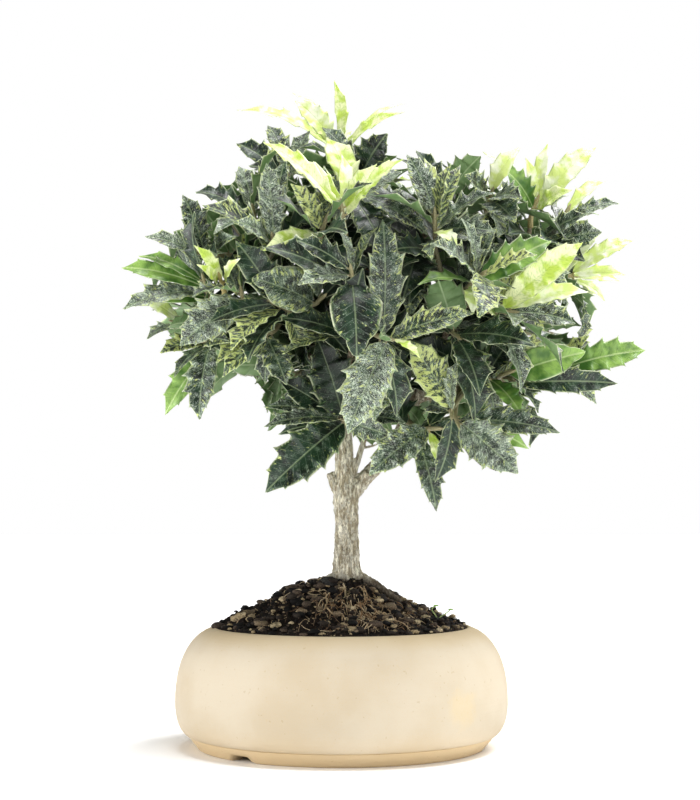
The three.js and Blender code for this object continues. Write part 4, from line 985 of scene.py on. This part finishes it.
# The visible leaves of each spray, by the place of the tip as seen, and their tones
TONE_PLACES = {
    "heart": [(10, 236, "dark"), (-23, 281, "grey"), (-1, 314, "grey"), (14, 319, "gold")],
    "centre_right": [(26, 319, "grey"), (80, 263, "gold"), (4, 189, "grey"), (10, 252, "gold"),
        (42, 240, "young")],
    "centre_left": [(-36, 238, "gold"), (-37, 259, "dark"), (24, 262, "dark")],
    "rosette_low": [(-14, 245, "dark"), (-37, 221, "dark"), (-51, 193, "grey"), (-47, 206, "grey"),
        (-46, 153, "dark"), (39, 196, "grey"), (-39, 189, "dark")],
    "low_hanging": [(17, 164, "grey"), (61, 168, "young"), (66, 205, "dark")],
    "low_pendant": [(58, 141, "grey"), (53, 172, "young")],
    "low_middle": [(41, 245, "gold"), (70, 232, "grey"), (52, 206, "grey")],
    "low_right": [(133, 190, "grey"), (108, 163, "grey"), (115, 179, "green")],
    "junction": [(118, 202, "green"), (43, 246, "dark"), (106, 249, "dark"), (79, 203, "young"),
        (92, 196, "grey")],
    "lance": [(168, 219, "dark"), (138, 240, "dark")],
    "fresh_green": [(148, 238, "green"), (86, 247, "grey")],
    "far_low": [(185, 232, "green"), (150, 248, "gold"), (156, 206, "grey")],
    "right_middle": [(75, 320, "grey"), (128, 306, "green"), (119, 298, "gold"), (80, 262, "pale"),
        (47, 281, "green"), (94, 316, "grey")],
    "bright": [(147, 305, "young"), (150, 277, "pale"), (82, 267, "young"), (143, 256, "grey"),
        (137, 281, "gold")],
    "underside": [(63, 286, "green"), (50, 262, "dark")],
    "right_shoulder": [(158, 311, "grey"), (148, 294, "dark"), (152, 323, "grey"),
        (134, 268, "grey")],
    "right_top": [(87, 361, "pale"), (113, 357, "pale"), (125, 366, "pale"), (154, 363, "pale"),
        (141, 339, "young"), (97, 352, "green")],
    "right_grey_tip": [(169, 330, "grey"), (160, 345, "pale"), (157, 322, "grey")],
    "right_pale": [(177, 308, "pale"), (173, 291, "pale"), (161, 270, "pale"), (156, 312, "pale"),
        (170, 282, "pale")],
    "crown_arch": [(53, 310, "grey"), (27, 298, "dark"), (37, 351, "grey"), (-28, 349, "gold")],
    "crown_front": [(-47, 367, "young"), (-23, 363, "young"), (35, 358, "young"),
        (20, 353, "young"), (2, 366, "pale")],
    "crown_back": [(-28, 392, "pale"), (-62, 392, "pale"), (-29, 398, "pale"), (-4, 404, "young"),
        (37, 387, "young"), (35, 395, "pale")],
    "crown_middle": [(24, 374, "dark"), (-12, 378, "grey"), (30, 345, "grey")],
    "crown_right": [(41, 359, "grey"), (52, 361, "gold"), (61, 360, "grey"), (66, 355, "gold"),
        (93, 312, "grey"), (71, 304, "pale"), (56, 300, "gold")],
    "crown_right_back": [(74, 358, "green"), (89, 356, "grey"), (46, 362, "dark"), (33, 360, "dark")],
    "right_upper": [(100, 352, "gold"), (76, 346, "grey"), (106, 318, "grey"), (116, 330, "grey")],
    "cream": [(-47, 302, "cream"), (-30, 341, "gold"), (-14, 346, "gold")],
    "left_broad": [(-57, 277, "grey"), (-22, 294, "grey"), (-39, 264, "dark")],
    "left_blue": [(-52, 240, "grey"), (-82, 262, "dark"), (-26, 252, "gold")],
    "left_skirt": [(-33, 218, "grey"), (-47, 218, "grey"), (-73, 223, "gold"), (-66, 232, "dark")],
    "left_middle": [(-101, 249, "grey"), (-84, 296, "grey")],
    "left_low": [(-87, 197, "grey"), (-108, 200, "green"), (-110, 238, "gold"), (-97, 230, "grey")],
    "left_out": [(-122, 272, "pale"), (-118, 247, "grey")],
    "left_far": [(-133, 265, "grey"), (-134, 290, "green"), (-117, 272, "green"),
        (-122, 297, "green")],
    "left_upright": [(-96, 334, "grey"), (-109, 307, "grey"), (-66, 309, "grey")],
    "left_yellow": [(-86, 301, "young"), (-86, 291, "young"), (-63, 295, "pale"),
        (-53, 303, "green")],
    "left_top": [(-88, 337, "dark"), (-62, 352, "grey"), (-74, 314, "grey")],
    "crown_left": [(-45, 353, "grey"), (-35, 358, "grey"), (-64, 318, "grey"), (-30, 318, "gold")],
    "crown_left_back": [(-61, 371, "dark"), (-45, 379, "grey"), (-20, 374, "grey"),
        (-56, 352, "dark")],
}

# The crown's outline as seen, which the leaves that fill it stay inside
CROWN_OUTLINE = [
    (-102, 236), (-124, 272), (-112, 300), (-95, 318), (-86, 338), (-70, 350), (-48, 366),
    (-20, 372), (16, 376), (25, 360), (60, 356), (110, 350), (140, 335), (155, 318), (160, 268),
    (150, 250), (162, 234), (150, 212), (124, 188), (105, 168), (84, 182), (66, 184), (60, 150),
    (46, 172), (38, 186), (-10, 188), (-45, 162), (-48, 206), (-62, 224), (-76, 222), (-86, 202),
    (-106, 204),
]
CROWN_CENTRE = np.array([18.0, 0, 268])
CROWN_SIZE = np.array([130.0, 110, 100])
EYE = np.array([0.0, -VIEW_DISTANCE, VIEW_HEIGHT])


def seen(point):
    """Where a point is seen from the front, as (x, z) on the plane of the pot's axis."""
    nearer = (VIEW_DISTANCE + point[1]) / VIEW_DISTANCE
    return point[0] / nearer, VIEW_HEIGHT + (point[2] - VIEW_HEIGHT) / nearer


def inside_crown(point):
    x, z = seen(point)
    inside = False
    for (x1, z1), (x2, z2) in zip(CROWN_OUTLINE, CROWN_OUTLINE[1:] + CROWN_OUTLINE[:1]):
        if (z1 > z) != (z2 > z) and x < x1 + (x2 - x1) * (z - z1) / (z2 - z1):
            inside = not inside
    return inside


def off_centre(points):
    """How far out in the crown each point is: 0 at its centre and 1 near its surface."""
    return np.linalg.norm((np.array(points) - CROWN_CENTRE) / CROWN_SIZE, axis=-1)


def painted_shade_of(points):
    """How deep in the crown's painted shade each point is, from 0 to 1."""
    return np.clip((SHADE_FROM - off_centre(points)) / SHADE_RANGE, 0, 1)


# Reading the leaves and stems of a packed spray
# How many points a margin has: 9 on slim and entire leaves, 11 or 13 on spiny ones, 17 on broad
MARGIN_COUNTS = (9, 11, 13, 17)


def packed_shape(name):
    """The joined-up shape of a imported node, and its points in millimetres."""
    shape = joined_up(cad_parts[name].data)
    shape.verts.index_update()
    shape.verts.ensure_lookup_table()
    return shape, np.array([v.co for v in shape.verts]) / MM


def blade_margins(shape):
    """The sharp edges of each blade, as a run of points from its root over its tip to its root."""
    links = {}
    for edge in shape.edges:
        if len(edge.link_faces) == 2 and edge.calc_face_angle() > SHARP_EDGE:
            one, other = (vertex.index for vertex in edge.verts)
            links.setdefault(one, []).append(other)
            links.setdefault(other, []).append(one)
    margins, used = [], set()
    for start in sorted(links):
        if start in used or len(links[start]) != 1:
            continue
        run, onward = [], [start]
        while onward:
            run.append(onward[0])
            used.add(onward[0])
            onward = [number for number in links[run[-1]] if number not in used]
        if len(run) >= MARGIN_COUNTS[0]:
            margins.append(even_run(run, shape))
    return margins


def even_run(run, shape):
    """The run without stray points at an end: as many on each side of its tip."""
    if len(run) in MARGIN_COUNTS:
        return run
    places = [shape.verts[number].co for number in run]
    root = (places[0] + places[-1]) / 2
    top = max(range(len(run)), key=lambda k: (places[k] - root).length)
    count = min(top, len(run) - 1 - top)
    return run[top - count : top + count + 1]


def form_of(run):
    """The outline that a margin belongs to, by its number of points and its breadth at the tip."""
    if len(run) > MARGIN_COUNTS[2]:
        return "broad"
    if len(run) > MARGIN_COUNTS[0]:
        return "spiny"
    top = len(run) // 2
    breadths = [np.linalg.norm(run[top + k] - run[top - k]) for k in range(1, top + 1)]
    return "slim" if breadths[0] > 0.6 * max(breadths) else "entire"


def leaf_of(run):
    """A leaf's base, direction, upper side and size, from its margin."""
    form = form_of(run)
    count = len(run) // 2
    tip = run[count]
    pairs = [(run[count - k], run[count + k]) for k in range(1, count + 1)]
    places = LEAF_FORMS[form][::-1][:count]
    across = unit(sum(right - left for left, right in pairs))
    middles = [(left + right) / 2 for left, right in pairs]
    halves = [np.linalg.norm(right - left) / 2 for left, right in pairs]
    half = np.mean([size / place[1] for size, place in zip(halves, places)])
    low, share = middles[-1], places[-1][0]
    span = tip - low
    span -= across * span.dot(across)
    gap = np.linalg.norm(span)
    ahead = unit(span)
    raised = np.cross(across, ahead)
    if raised.dot(middles[len(middles) // 2] - low) < 0:
        raised = -raised
    # The arch and the fold lift the lowest pair off the line from base to tip, and the length
    # follows from how far that pair is from the tip
    slope = 4 * BLADE_ARCH * share * (1 - share)
    number = len(LEAF_FORMS[form]) - count
    wave = 0 if number == 0 else BLADE_WAVE * half * (1 if number % 2 else -1)
    offset = BLADE_FOLD * halves[-1] + wave
    full = (1 - share) ** 2 + slope**2
    root = math.sqrt((slope * offset) ** 2 - full * (offset**2 - gap**2))
    length = (root - slope * offset) / full
    angle = math.atan2(slope * length + offset, length * (1 - share))
    along = math.cos(angle) * ahead + math.sin(angle) * raised
    normal = math.cos(angle) * raised - math.sin(angle) * ahead
    return {
        "base": tip - along * length, "tip": tip, "along": along, "normal": normal,
        "length": length, "breadth": 2 * half, "form": form,
    }


def stem_of(shape, points, leaves, margins):
    """The middles and radii of a stem's rings, from its bud to its seat on the limb."""
    used = {number for run in margins for number in run}
    for leaf in leaves:
        used |= set(np.flatnonzero(np.linalg.norm(points - leaf["base"], axis=1) < BASE_REACH))
    short = [edge for edge in shape.edges if edge.calc_length() < BUD_EDGE * MM]
    ring = {vertex.index for edge in short for vertex in edge.verts} - used
    rings = []
    while ring:
        corners = points[sorted(ring)]
        middle = corners.mean(axis=0)
        rings.append((middle, float(np.linalg.norm(corners - middle, axis=1).mean())))
        used |= ring
        near = {e.other_vert(shape.verts[k]).index for k in ring for e in shape.verts[k].link_edges}
        ring = near - used
    return rings


def tone_of(spray, leaf, draw):
    """The tone of the nearest listed place, or one drawn for the rest."""
    x, z = seen(leaf["tip"])
    near = [(math.hypot(x - px, z - pz), tone) for px, pz, tone in TONE_PLACES.get(spray, [])]
    reach, tone = min(near, default=(math.inf, None))
    leaf["listed"] = reach < LISTED_REACH
    if leaf["listed"]:
        return tone
    if leaf["tip"][2] > HIGH_TIP and draw.random() < HIGH_YOUNG_SHARE:
        return draw.choice(["young", "pale"])
    return draw.choice(MATURE_TONES)


# Fine blades
# Where along each kind of stretch, between two of an outline's places, the margin has points
STRETCH_STEPS = {
    "root": (0, 0.3, 0.65), "smooth": (0, 0.3, 0.65), "rise": (0, 0.25, 0.5, 0.75, 0.92),
    "fall": (0, 0.4, 0.75), "tip": (0, 0.12, 0.35, 0.6, 0.85),
}


def stretch_kind(number, form):
    if number == 0:
        return "root"
    if form == "entire":
        return "smooth"
    if number == len(LEAF_FORMS[form]):
        return "tip"
    return "rise" if number % 2 else "fall"


def stretch_width(kind, t, first, last):
    """The width at a share of a stretch between two widths. A rise ends in a sharp spine."""
    if kind == "root":
        return first + (last - first) * math.sin(math.pi / 2 * t) ** 0.9
    if kind == "smooth":
        return first + (last - first) * (t * t if last < first else math.sin(math.pi / 2 * t))
    if kind == "tip":
        return first * ((1 - t) ** 3 * 0.35 + (1 - t**1.3) * 0.65)
    if kind == "fall":
        return last + (first - last) * (1 - t) ** 2.6
    body = first + BAY_BODY * (last - first)
    return first + (body - first) * math.sin(math.pi / 2 * t) + (last - body) * t**5


def fine_margin(form, fill):
    """[share, width, spine, lift] along the margin, from the root to the tip."""
    places = LEAF_FORMS[form]
    toothed = form != "entire"
    if toothed:
        widths = [width for _, width in places]
        spines = [widths[k - 1] if k % 2 == 0 and k > 0 else w for k, w in enumerate(widths)]
        places = [(s, w + fill * (spine - w)) for (s, w), spine in zip(places, spines)]
    knots = [(0.0, ROOT_WIDTH), *places, (1.0, 0.0)]
    found = []
    for number, ((s0, w0), (s1, w1)) in enumerate(zip(knots, knots[1:])):
        kind = stretch_kind(number, form)
        falls = number > 0 and number % 2 == 0
        for t in STRETCH_STEPS["tip" if number == len(places) else kind]:
            height = 0.5 if number == 0 else 1 - t if falls else t
            spine = float(toothed and falls and t == 0)
            found.append((s0 + (s1 - s0) * t, stretch_width(kind, t, w0, w1), spine, 2 * height - 1))
    return [*found, (1.0, 0.0, 0.0, 0.0)]


def blade_template(form, fill, spine_reach):
    """Point columns (share, width, row, side, face, lift) and the faces of one closed blade."""
    margin = fine_margin(form, fill)
    last = len(margin) - 1
    columns, numbers, faces = [], {}, []

    def number_of(station, row, side, face):
        share, width, spine, lift = margin[station]
        if station == last:
            row = EDGE_ROW
            side = 0
        key = (station, row, side if row else 0, face if row < EDGE_ROW else 0)
        if key not in numbers:
            numbers[key] = len(columns)
            reach = ROWS[row]
            slant = SPINE_SLANT * spine * reach**4
            wide = reach * width * (1 + spine_reach * spine * reach**3)
            columns.append((share + slant, wide, reach, *key[2:], lift))
        return numbers[key]

    for side, face, station, row in product((-1, 1), (1, -1), range(last), range(EDGE_ROW)):
        corners = [
            number_of(station + on, row + out, side, face)
            for on, out in ((0, 0), (1, 0), (1, 1), (0, 1))
        ]
        kept = [c for k, c in enumerate(corners) if c != corners[k - 1]]
        if len(kept) > 2:
            faces.append(tuple(kept if side * face < 0 else kept[::-1]))
    root = [number_of(0, row, -1, 1) for row in range(EDGE_ROW, 0, -1)]
    root += [number_of(0, row, 1, 1) for row in range(EDGE_ROW + 1)]
    root += [number_of(0, row, 1, -1) for row in range(EDGE_ROW - 1, 0, -1)]
    root += [number_of(0, row, -1, -1) for row in range(EDGE_ROW)]
    faces.append(tuple(root))
    return np.array(columns, float), faces


OLD_BLADES = {form: blade_template(form, BAY_FILL, SPINE_REACH) for form in LEAF_FORMS}
YOUNG_BLADES = {
    form: blade_template(form, YOUNG_BAY_FILL, YOUNG_SPINE_REACH) for form in LEAF_FORMS
}


def blade_points(leaf, shares, offsets, lifts):
    """Points on a leaf: shares of its length, offsets to the side and lifts off its surface."""
    arch = 4 * BLADE_ARCH * leaf["length"] * shares * (1 - shares)
    curl = -leaf["curl"] * leaf["length"] * shares**3
    fold = FINE_FOLD * (np.sqrt(offsets**2 + 0.5) - 0.7)
    twist = leaf["twist"] * shares
    up = arch + curl + fold + offsets * np.sin(twist) + lifts
    side = np.cross(leaf["along"], leaf["normal"])
    points = leaf["base"] + np.outer(shares * leaf["length"], leaf["along"])
    return points + np.outer(offsets * np.cos(twist), side) + np.outer(up, leaf["normal"])


def add_blade(parcel, leaf):
    young = leaf["tint"][0] > YOUNG
    columns, faces = (YOUNG_BLADES if young else OLD_BLADES)[leaf["form"]]
    share, width, row, side, face, lift = columns.T
    half = leaf["breadth"] / 2 * (YOUNG_WIDTH if young else 1)
    offsets = width * side * half
    lifts = FINE_WAVE * half * lift * row**2 - GROOVE_DEPTH * (row == 0)
    lifts += BLADE_HALF_THICKNESS * face * (1 - 0.5 * row)
    points = blade_points(leaf, share, offsets, lifts)
    blade = np.column_stack([offsets, share * leaf["length"], row])
    # The third part of part is the crown's painted shade at each point
    part = np.column_stack([(face + 1) / 2, 0 * face, painted_shade_of(points)])
    parcel.add(points, faces, blade=blade, part=part, tint=[leaf["tint"]] * len(points))


def add_stem(parcel, path, radii, sides, tint, spacing=1.6):
    points, faces = tube(*smooth_path(path, radii, spacing), sides)
    numbers = np.arange(len(points))
    ones = np.ones(len(points))
    blade = np.column_stack([numbers % sides * 0.8, numbers // sides * spacing, 0.5 * ones])
    # The third part of part is the crown's painted shade at each point
    part = np.column_stack([ones, ones, painted_shade_of(points)])
    parcel.add(points, faces, blade=blade, part=part, tint=[tint] * len(points))


def finish_leaf(leaf, tone, draw):
    """Gives a leaf its tint and its own small bends."""
    youth, gold, grey = TONES[tone]
    gold *= 0.6 + 0.8 * draw.random()
    grey *= 0.6 + 0.6 * draw.random()
    leaf["tint"] = (youth, gold, grey, draw.random())
    leaf["curl"] = CURL_LEAST + (YOUNG_CURL_SPAN if youth > YOUNG else CURL_SPAN) * draw.random()
    leaf["twist"] = wander(draw, TWIST_SPAN)


def add_leaf(parcel, leaf, root):
    """A blade with its petiole, which comes from the given point inside the stem."""
    add_blade(parcel, leaf)
    end = leaf["base"] + leaf["along"] * 1.6
    middle = leaf["base"] * 0.75 + root * 0.25
    radii = [PETIOLE_RADIUS * 1.25, PETIOLE_RADIUS, PETIOLE_RADIUS * 0.55]
    add_stem(parcel, [root, middle, end], radii, PETIOLE_SIDES, leaf["tint"], 1.2)


# Leaves that fill the crown
def sheet_of(leaf):
    """A leaf as a plain sheet, for finding where leaves would cross."""
    shares = np.array([0.05, 0.35, 0.65, 1, 0.2, 0.45, 0.72, 0.2, 0.45, 0.72])
    offsets = leaf["breadth"] / 2 * np.array([0, 0, 0, 0, 0.7, 1, 0.8, -0.7, -1, -0.8])
    points = blade_points(leaf, shares, offsets, np.zeros(len(shares)))
    faces = []
    for first in (4, 7):
        faces += [(0, 1, first), (1, first + 1, first), (1, 2, first + 1)]
        faces += [(2, first + 2, first + 1), (2, 3, first + 2)]
    return points, faces


class Thicket:
    """The leaves so far, to keep new ones clear of them and out of the listed ones' view."""

    def __init__(self, leaves):
        self.trees, self.middles, self.reaches = [], [], []
        listed = Parcel()
        for leaf in leaves:
            self.keep(leaf)
            if leaf["listed"]:
                listed.add(*sheet_of(leaf))
        self.front = BVHTree.FromPolygons(listed.points, listed.faces)

    def keep(self, leaf):
        points, faces = sheet_of(leaf)
        self.trees.append(BVHTree.FromPolygons(points.tolist(), faces, epsilon=ROOM))
        self.middles.append(points.mean(axis=0))
        self.reaches.append(leaf["length"] * LEAF_REACH)

    def is_clear(self, leaf):
        points, faces = sheet_of(leaf)
        tree = BVHTree.FromPolygons(points.tolist(), faces, epsilon=ROOM)
        gaps = np.linalg.norm(np.array(self.middles) - points.mean(axis=0), axis=1)
        near = np.flatnonzero(gaps < np.array(self.reaches) + leaf["length"] * LEAF_REACH)
        return not any(tree.overlap(self.trees[number]) for number in near)

    def hides(self, leaf):
        """Whether two or more of the leaf's points are in front of a listed leaf."""
        points, _ = sheet_of(leaf)
        hidden = 0
        for number in SHEET_SAMPLES:
            away = Vector(unit(points[number] - EYE))
            hit = self.front.ray_cast(Vector(points[number]) + away * 0.5, away, SIGHT_REACH)
            hidden += hit[0] is not None
        return hidden > 1


def fill_leaf(root, axis, facing, radius, spread, draw):
    """A leaf on a side of a stem, opened out from the stem and turned to the light."""
    base = root + facing * (radius + BASE_OUT) + axis * BASE_UP
    light = unit(unit(root - CROWN_CENTRE) + np.array([0, 0, 0.9]))
    angle = math.radians(spread + wander(draw, SPREAD_SPAN))
    along = unit(math.cos(angle) * axis + math.sin(angle) * facing)
    open_side = unit(light - along * light.dot(along))
    roll = wander(draw, ROLL_SPAN)
    length = draw.uniform(*FILL_LENGTHS)
    return {
        "base": base, "tip": base + along * length, "along": along, "length": length,
        "normal": math.cos(roll) * open_side + math.sin(roll) * np.cross(along, open_side),
        "breadth": length * draw.uniform(*FILL_BREADTHS),
        "form": draw.choice(["slim", "spiny", "spiny", "broad"]), "listed": False,
    }


def fill_tone(leaf, draw):
    """Mostly mature leaves, and more young ones high up. Those deep inside the crown take the deep
    tone, a painted shade.
    """
    if leaf["tip"][2] > FILL_HIGH_TIP and draw.random() < FILL_YOUNG_SHARE:
        return draw.choice(["young", "green"])
    return "deep" if off_centre(leaf["tip"]) < DEEP_WITHIN else draw.choice(MATURE_TONES)


def sides_of(axis, draw):
    """Four directions across a stem, at right angles."""
    across = unit(crosswise(axis))
    beside = np.cross(axis, across)
    start = math.tau * draw.random()
    turns = [around(1, start + k * math.pi / 2) for k in range(4)]
    return [x * across + y * beside for x, y in turns]


def try_leaf(root, axis, facing, radius, spread, thicket, draw):
    """A new leaf that is kept in the thicket, or nothing where there is no room for it."""
    leaf = fill_leaf(root, axis, facing, radius, spread, draw)
    finish_leaf(leaf, fill_tone(leaf, draw), draw)
    if not inside_crown(leaf["tip"]) or not thicket.is_clear(leaf) or thicket.hides(leaf):
        return None
    thicket.keep(leaf)
    return leaf


def fill_spray(rings, thicket, draw):
    """More leaves along a spray's own stem, each with its root."""
    found = []
    for (one, radius), (other, _) in zip(rings[1:], rings[2:]):
        reach = np.linalg.norm(other - one)
        axis = unit(one - other)
        for step in range(max(1, int(reach / FILL_STEP))):
            root = one - axis * (step + 0.5) * min(FILL_STEP, reach)
            for facing in sides_of(axis, draw):
                leaf = try_leaf(root, axis, facing, radius, FILL_SPREAD, thicket, draw)
                if leaf and len(found) < FILL_PER_SPRAY:
                    found.append((leaf, root))
    return found


def make_sprays():
    """The leaves and the stem's rings of every packed spray, by its name."""
    draw = random.Random(11)
    sprays = {}
    for name in sorted(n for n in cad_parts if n.startswith("spray_")):
        shape, points = packed_shape(name)
        margins = blade_margins(shape)
        leaves = [leaf_of(points[run]) for run in margins]
        rings = stem_of(shape, points, leaves, margins)
        shape.free()
        for leaf in leaves:
            finish_leaf(leaf, tone_of(name.removeprefix("spray_"), leaf, draw), draw)
        sprays[name] = leaves, rings
    return sprays


def nearest_on_path(point, middles):
    """The nearest place to a point on the straight runs between the middles."""
    places = []
    for one, other in zip(middles, middles[1:]):
        run = other - one
        places.append(one + clamp((point - one).dot(run) / run.dot(run)) * run)
    return min(places, key=lambda place: np.linalg.norm(point - place))


def spray_piece(name, leaves, rings, filled):
    """A packed spray again, with fine blades, a round stem and the leaves that fill it."""
    parcel = Parcel()
    middles, radii = zip(*rings)
    inset = middles[-1] + unit(middles[-1] - middles[-2]) * STEM_INSET
    youth = np.mean([leaf["tint"][0] for leaf in leaves])
    radii = [*radii, radii[-1] * 1.1]
    add_stem(parcel, [*middles, inset], radii, STEM_SIDES, (youth, 0, 0, 0.5))
    for leaf in leaves:
        add_leaf(parcel, leaf, nearest_on_path(leaf["base"], middles))
    for leaf, root in filled:
        add_leaf(parcel, leaf, root)
    return parcel.piece(name.replace("spray_", "leaves_"), LEAF)


def spur_leaves(tip, axis, thicket, draw):
    """The leaves of one spur, whorl by whorl down from its tip, each with its root."""
    found = []
    for whorl in range(WHORLS):
        root = tip - axis * whorl * WHORL_GAP
        spread = TOP_SPREAD + SPREAD_STEP * whorl
        for facing in sides_of(axis, draw):
            leaf = try_leaf(root, axis, facing, 1.0, spread, thicket, draw)
            if leaf:
                found.append((leaf, root))
            if len(found) >= SPUR_LEAVES:
                break
    return found


def make_spurs(thicket):
    """Short leafy spurs on the limbs inside the crown."""
    draw = random.Random(29)
    shape, _ = packed_shape("wood")
    faces = [f for f in shape.faces if f.calc_center_median().z > SPUR_LOWEST * MM]
    weights = [f.calc_area() ** 0.5 for f in faces]
    parcel = Parcel()
    made = 0
    for face in draw.choices(faces, weights, k=SPUR_COUNT * 4):
        if made >= SPUR_COUNT:
            break
        root = np.array(face.calc_center_median()) / MM
        outward = unit(root - CROWN_CENTRE)
        axis = unit(np.array(face.normal) + 0.7 * outward + np.array([0, 0, 0.25]))
        reach = draw.uniform(*SPUR_REACHES)
        tip = root + axis * reach
        found = spur_leaves(tip, axis, thicket, draw)
        if len(found) < 2:
            continue
        made += 1
        path = [root - axis * 1.5, root + axis * reach * 0.5, tip, tip + axis * 3]
        add_stem(parcel, path, [1.5, 1.2, 1.0, 0.3], PETIOLE_SIDES, (0.0, 0, 0, 0.5))
        for leaf, at in found:
            add_leaf(parcel, leaf, at)
    shape.free()
    return parcel.piece("leaves_inner_spurs", LEAF)


# Building the object
def dressed(piece, slot, *nodes):
    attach(piece, "root")
    if nodes:
        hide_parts(*nodes)


dressed(make_pot(), "pot_clay", "pot")
dressed(make_soil(), "potting_soil", "soil")
dressed(make_litter(), "potting_soil")
dressed(make_wood(), "bark", "wood")
for side in ("left", "right"):
    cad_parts["drain_mesh_" + side].data.materials[0] = NET

YOUNG_SPRAYS = ["crown_back", "crown_front", "right_top", "right_pale", "left_yellow"]
sprays = make_sprays()
thicket = Thicket([leaf for leaves, _ in sprays.values() for leaf in leaves])
fill_draw = random.Random(17)
for name, (leaves, rings) in sprays.items():
    filled = fill_spray(rings, thicket, fill_draw)
    slot = "young_foliage" if name.removeprefix("spray_") in YOUNG_SPRAYS else "foliage"
    dressed(spray_piece(name, leaves, rings, filled), slot, name)
dressed(make_spurs(thicket), "foliage")

# The floor and the light
# Each lamp: its place, its size, its power in watts and the place it faces, in metres
LAMPS = {
    "left": ((-1.35, -0.25, 0.3), 0.7, 13.5, (0, 0, 0.2)),
    "right": ((1.3, -0.35, 0.55), 0.8, 4.5, (0, 0, 0.2)),
    "behind": ((0.8, 0.6, 1.1), 0.6, 15, (0.04, 0, 0.3)),
    "front": ((0.35, -1.4, 0.35), 0.8, 6.5, (0.05, 0, 0.3)),
}


def make_stage():
    corners = [(-1, -1), (1, -1), (1, 1), (-1, 1)]
    points = [(FLOOR_REACH * x, FLOOR_REACH * y, 0) for x, y in corners]
    mesh_piece("floor", points, [(0, 1, 2, 3)], floor_material())


def heading(direction):
    """The turn that points a lamp along a direction."""
    return direction.to_track_quat("-Z", "Y").to_euler()


def make_lamps():
    for name, (place, size, power, target) in LAMPS.items():
        data = bpy.data.lights.new(name, "AREA")
        data.shape = "DISK"
        data.size = size
        data.energy = power
        lamp = linked(name, data)
        lamp.location = place
        lamp.rotation_euler = heading(Vector(target) - Vector(place))
    sun = bpy.data.lights.new("above", "SUN")
    sun.energy = SUN_POWER
    sun.angle = SUN_SPREAD
    linked("above", sun).rotation_euler = heading(Vector(SUN_HEADING))


def make_studio():
    """White light from all round, brighter overhead. The camera itself sees plain white."""
    world = bpy.data.worlds.new("studio")
    world.use_nodes = True
    sky = Nodes(world.node_tree)
    height = sky.split(sky.node("TexCoord", {}, "Generated"))[2]
    fade = {"Value": height, "From Min": -0.1, "From Max": 0.7}
    fade |= {"To Min": LIGHT_LOW, "To Max": LIGHT_HIGH}
    to_camera = sky.node("LightPath", {}, "Is Camera Ray")
    background = sky.tree.nodes["Background"].inputs
    sky.join(background["Color"], (1, 1, 1, 1))
    strength = sky.node("Mix", {0: to_camera, 2: sky.node("MapRange", fade), 3: 1.0})
    sky.join(background["Strength"], strength)
    bpy.context.scene.world = world


make_stage()
make_studio()
make_lamps()
bpy.context.scene.view_settings.view_transform = "Standard"
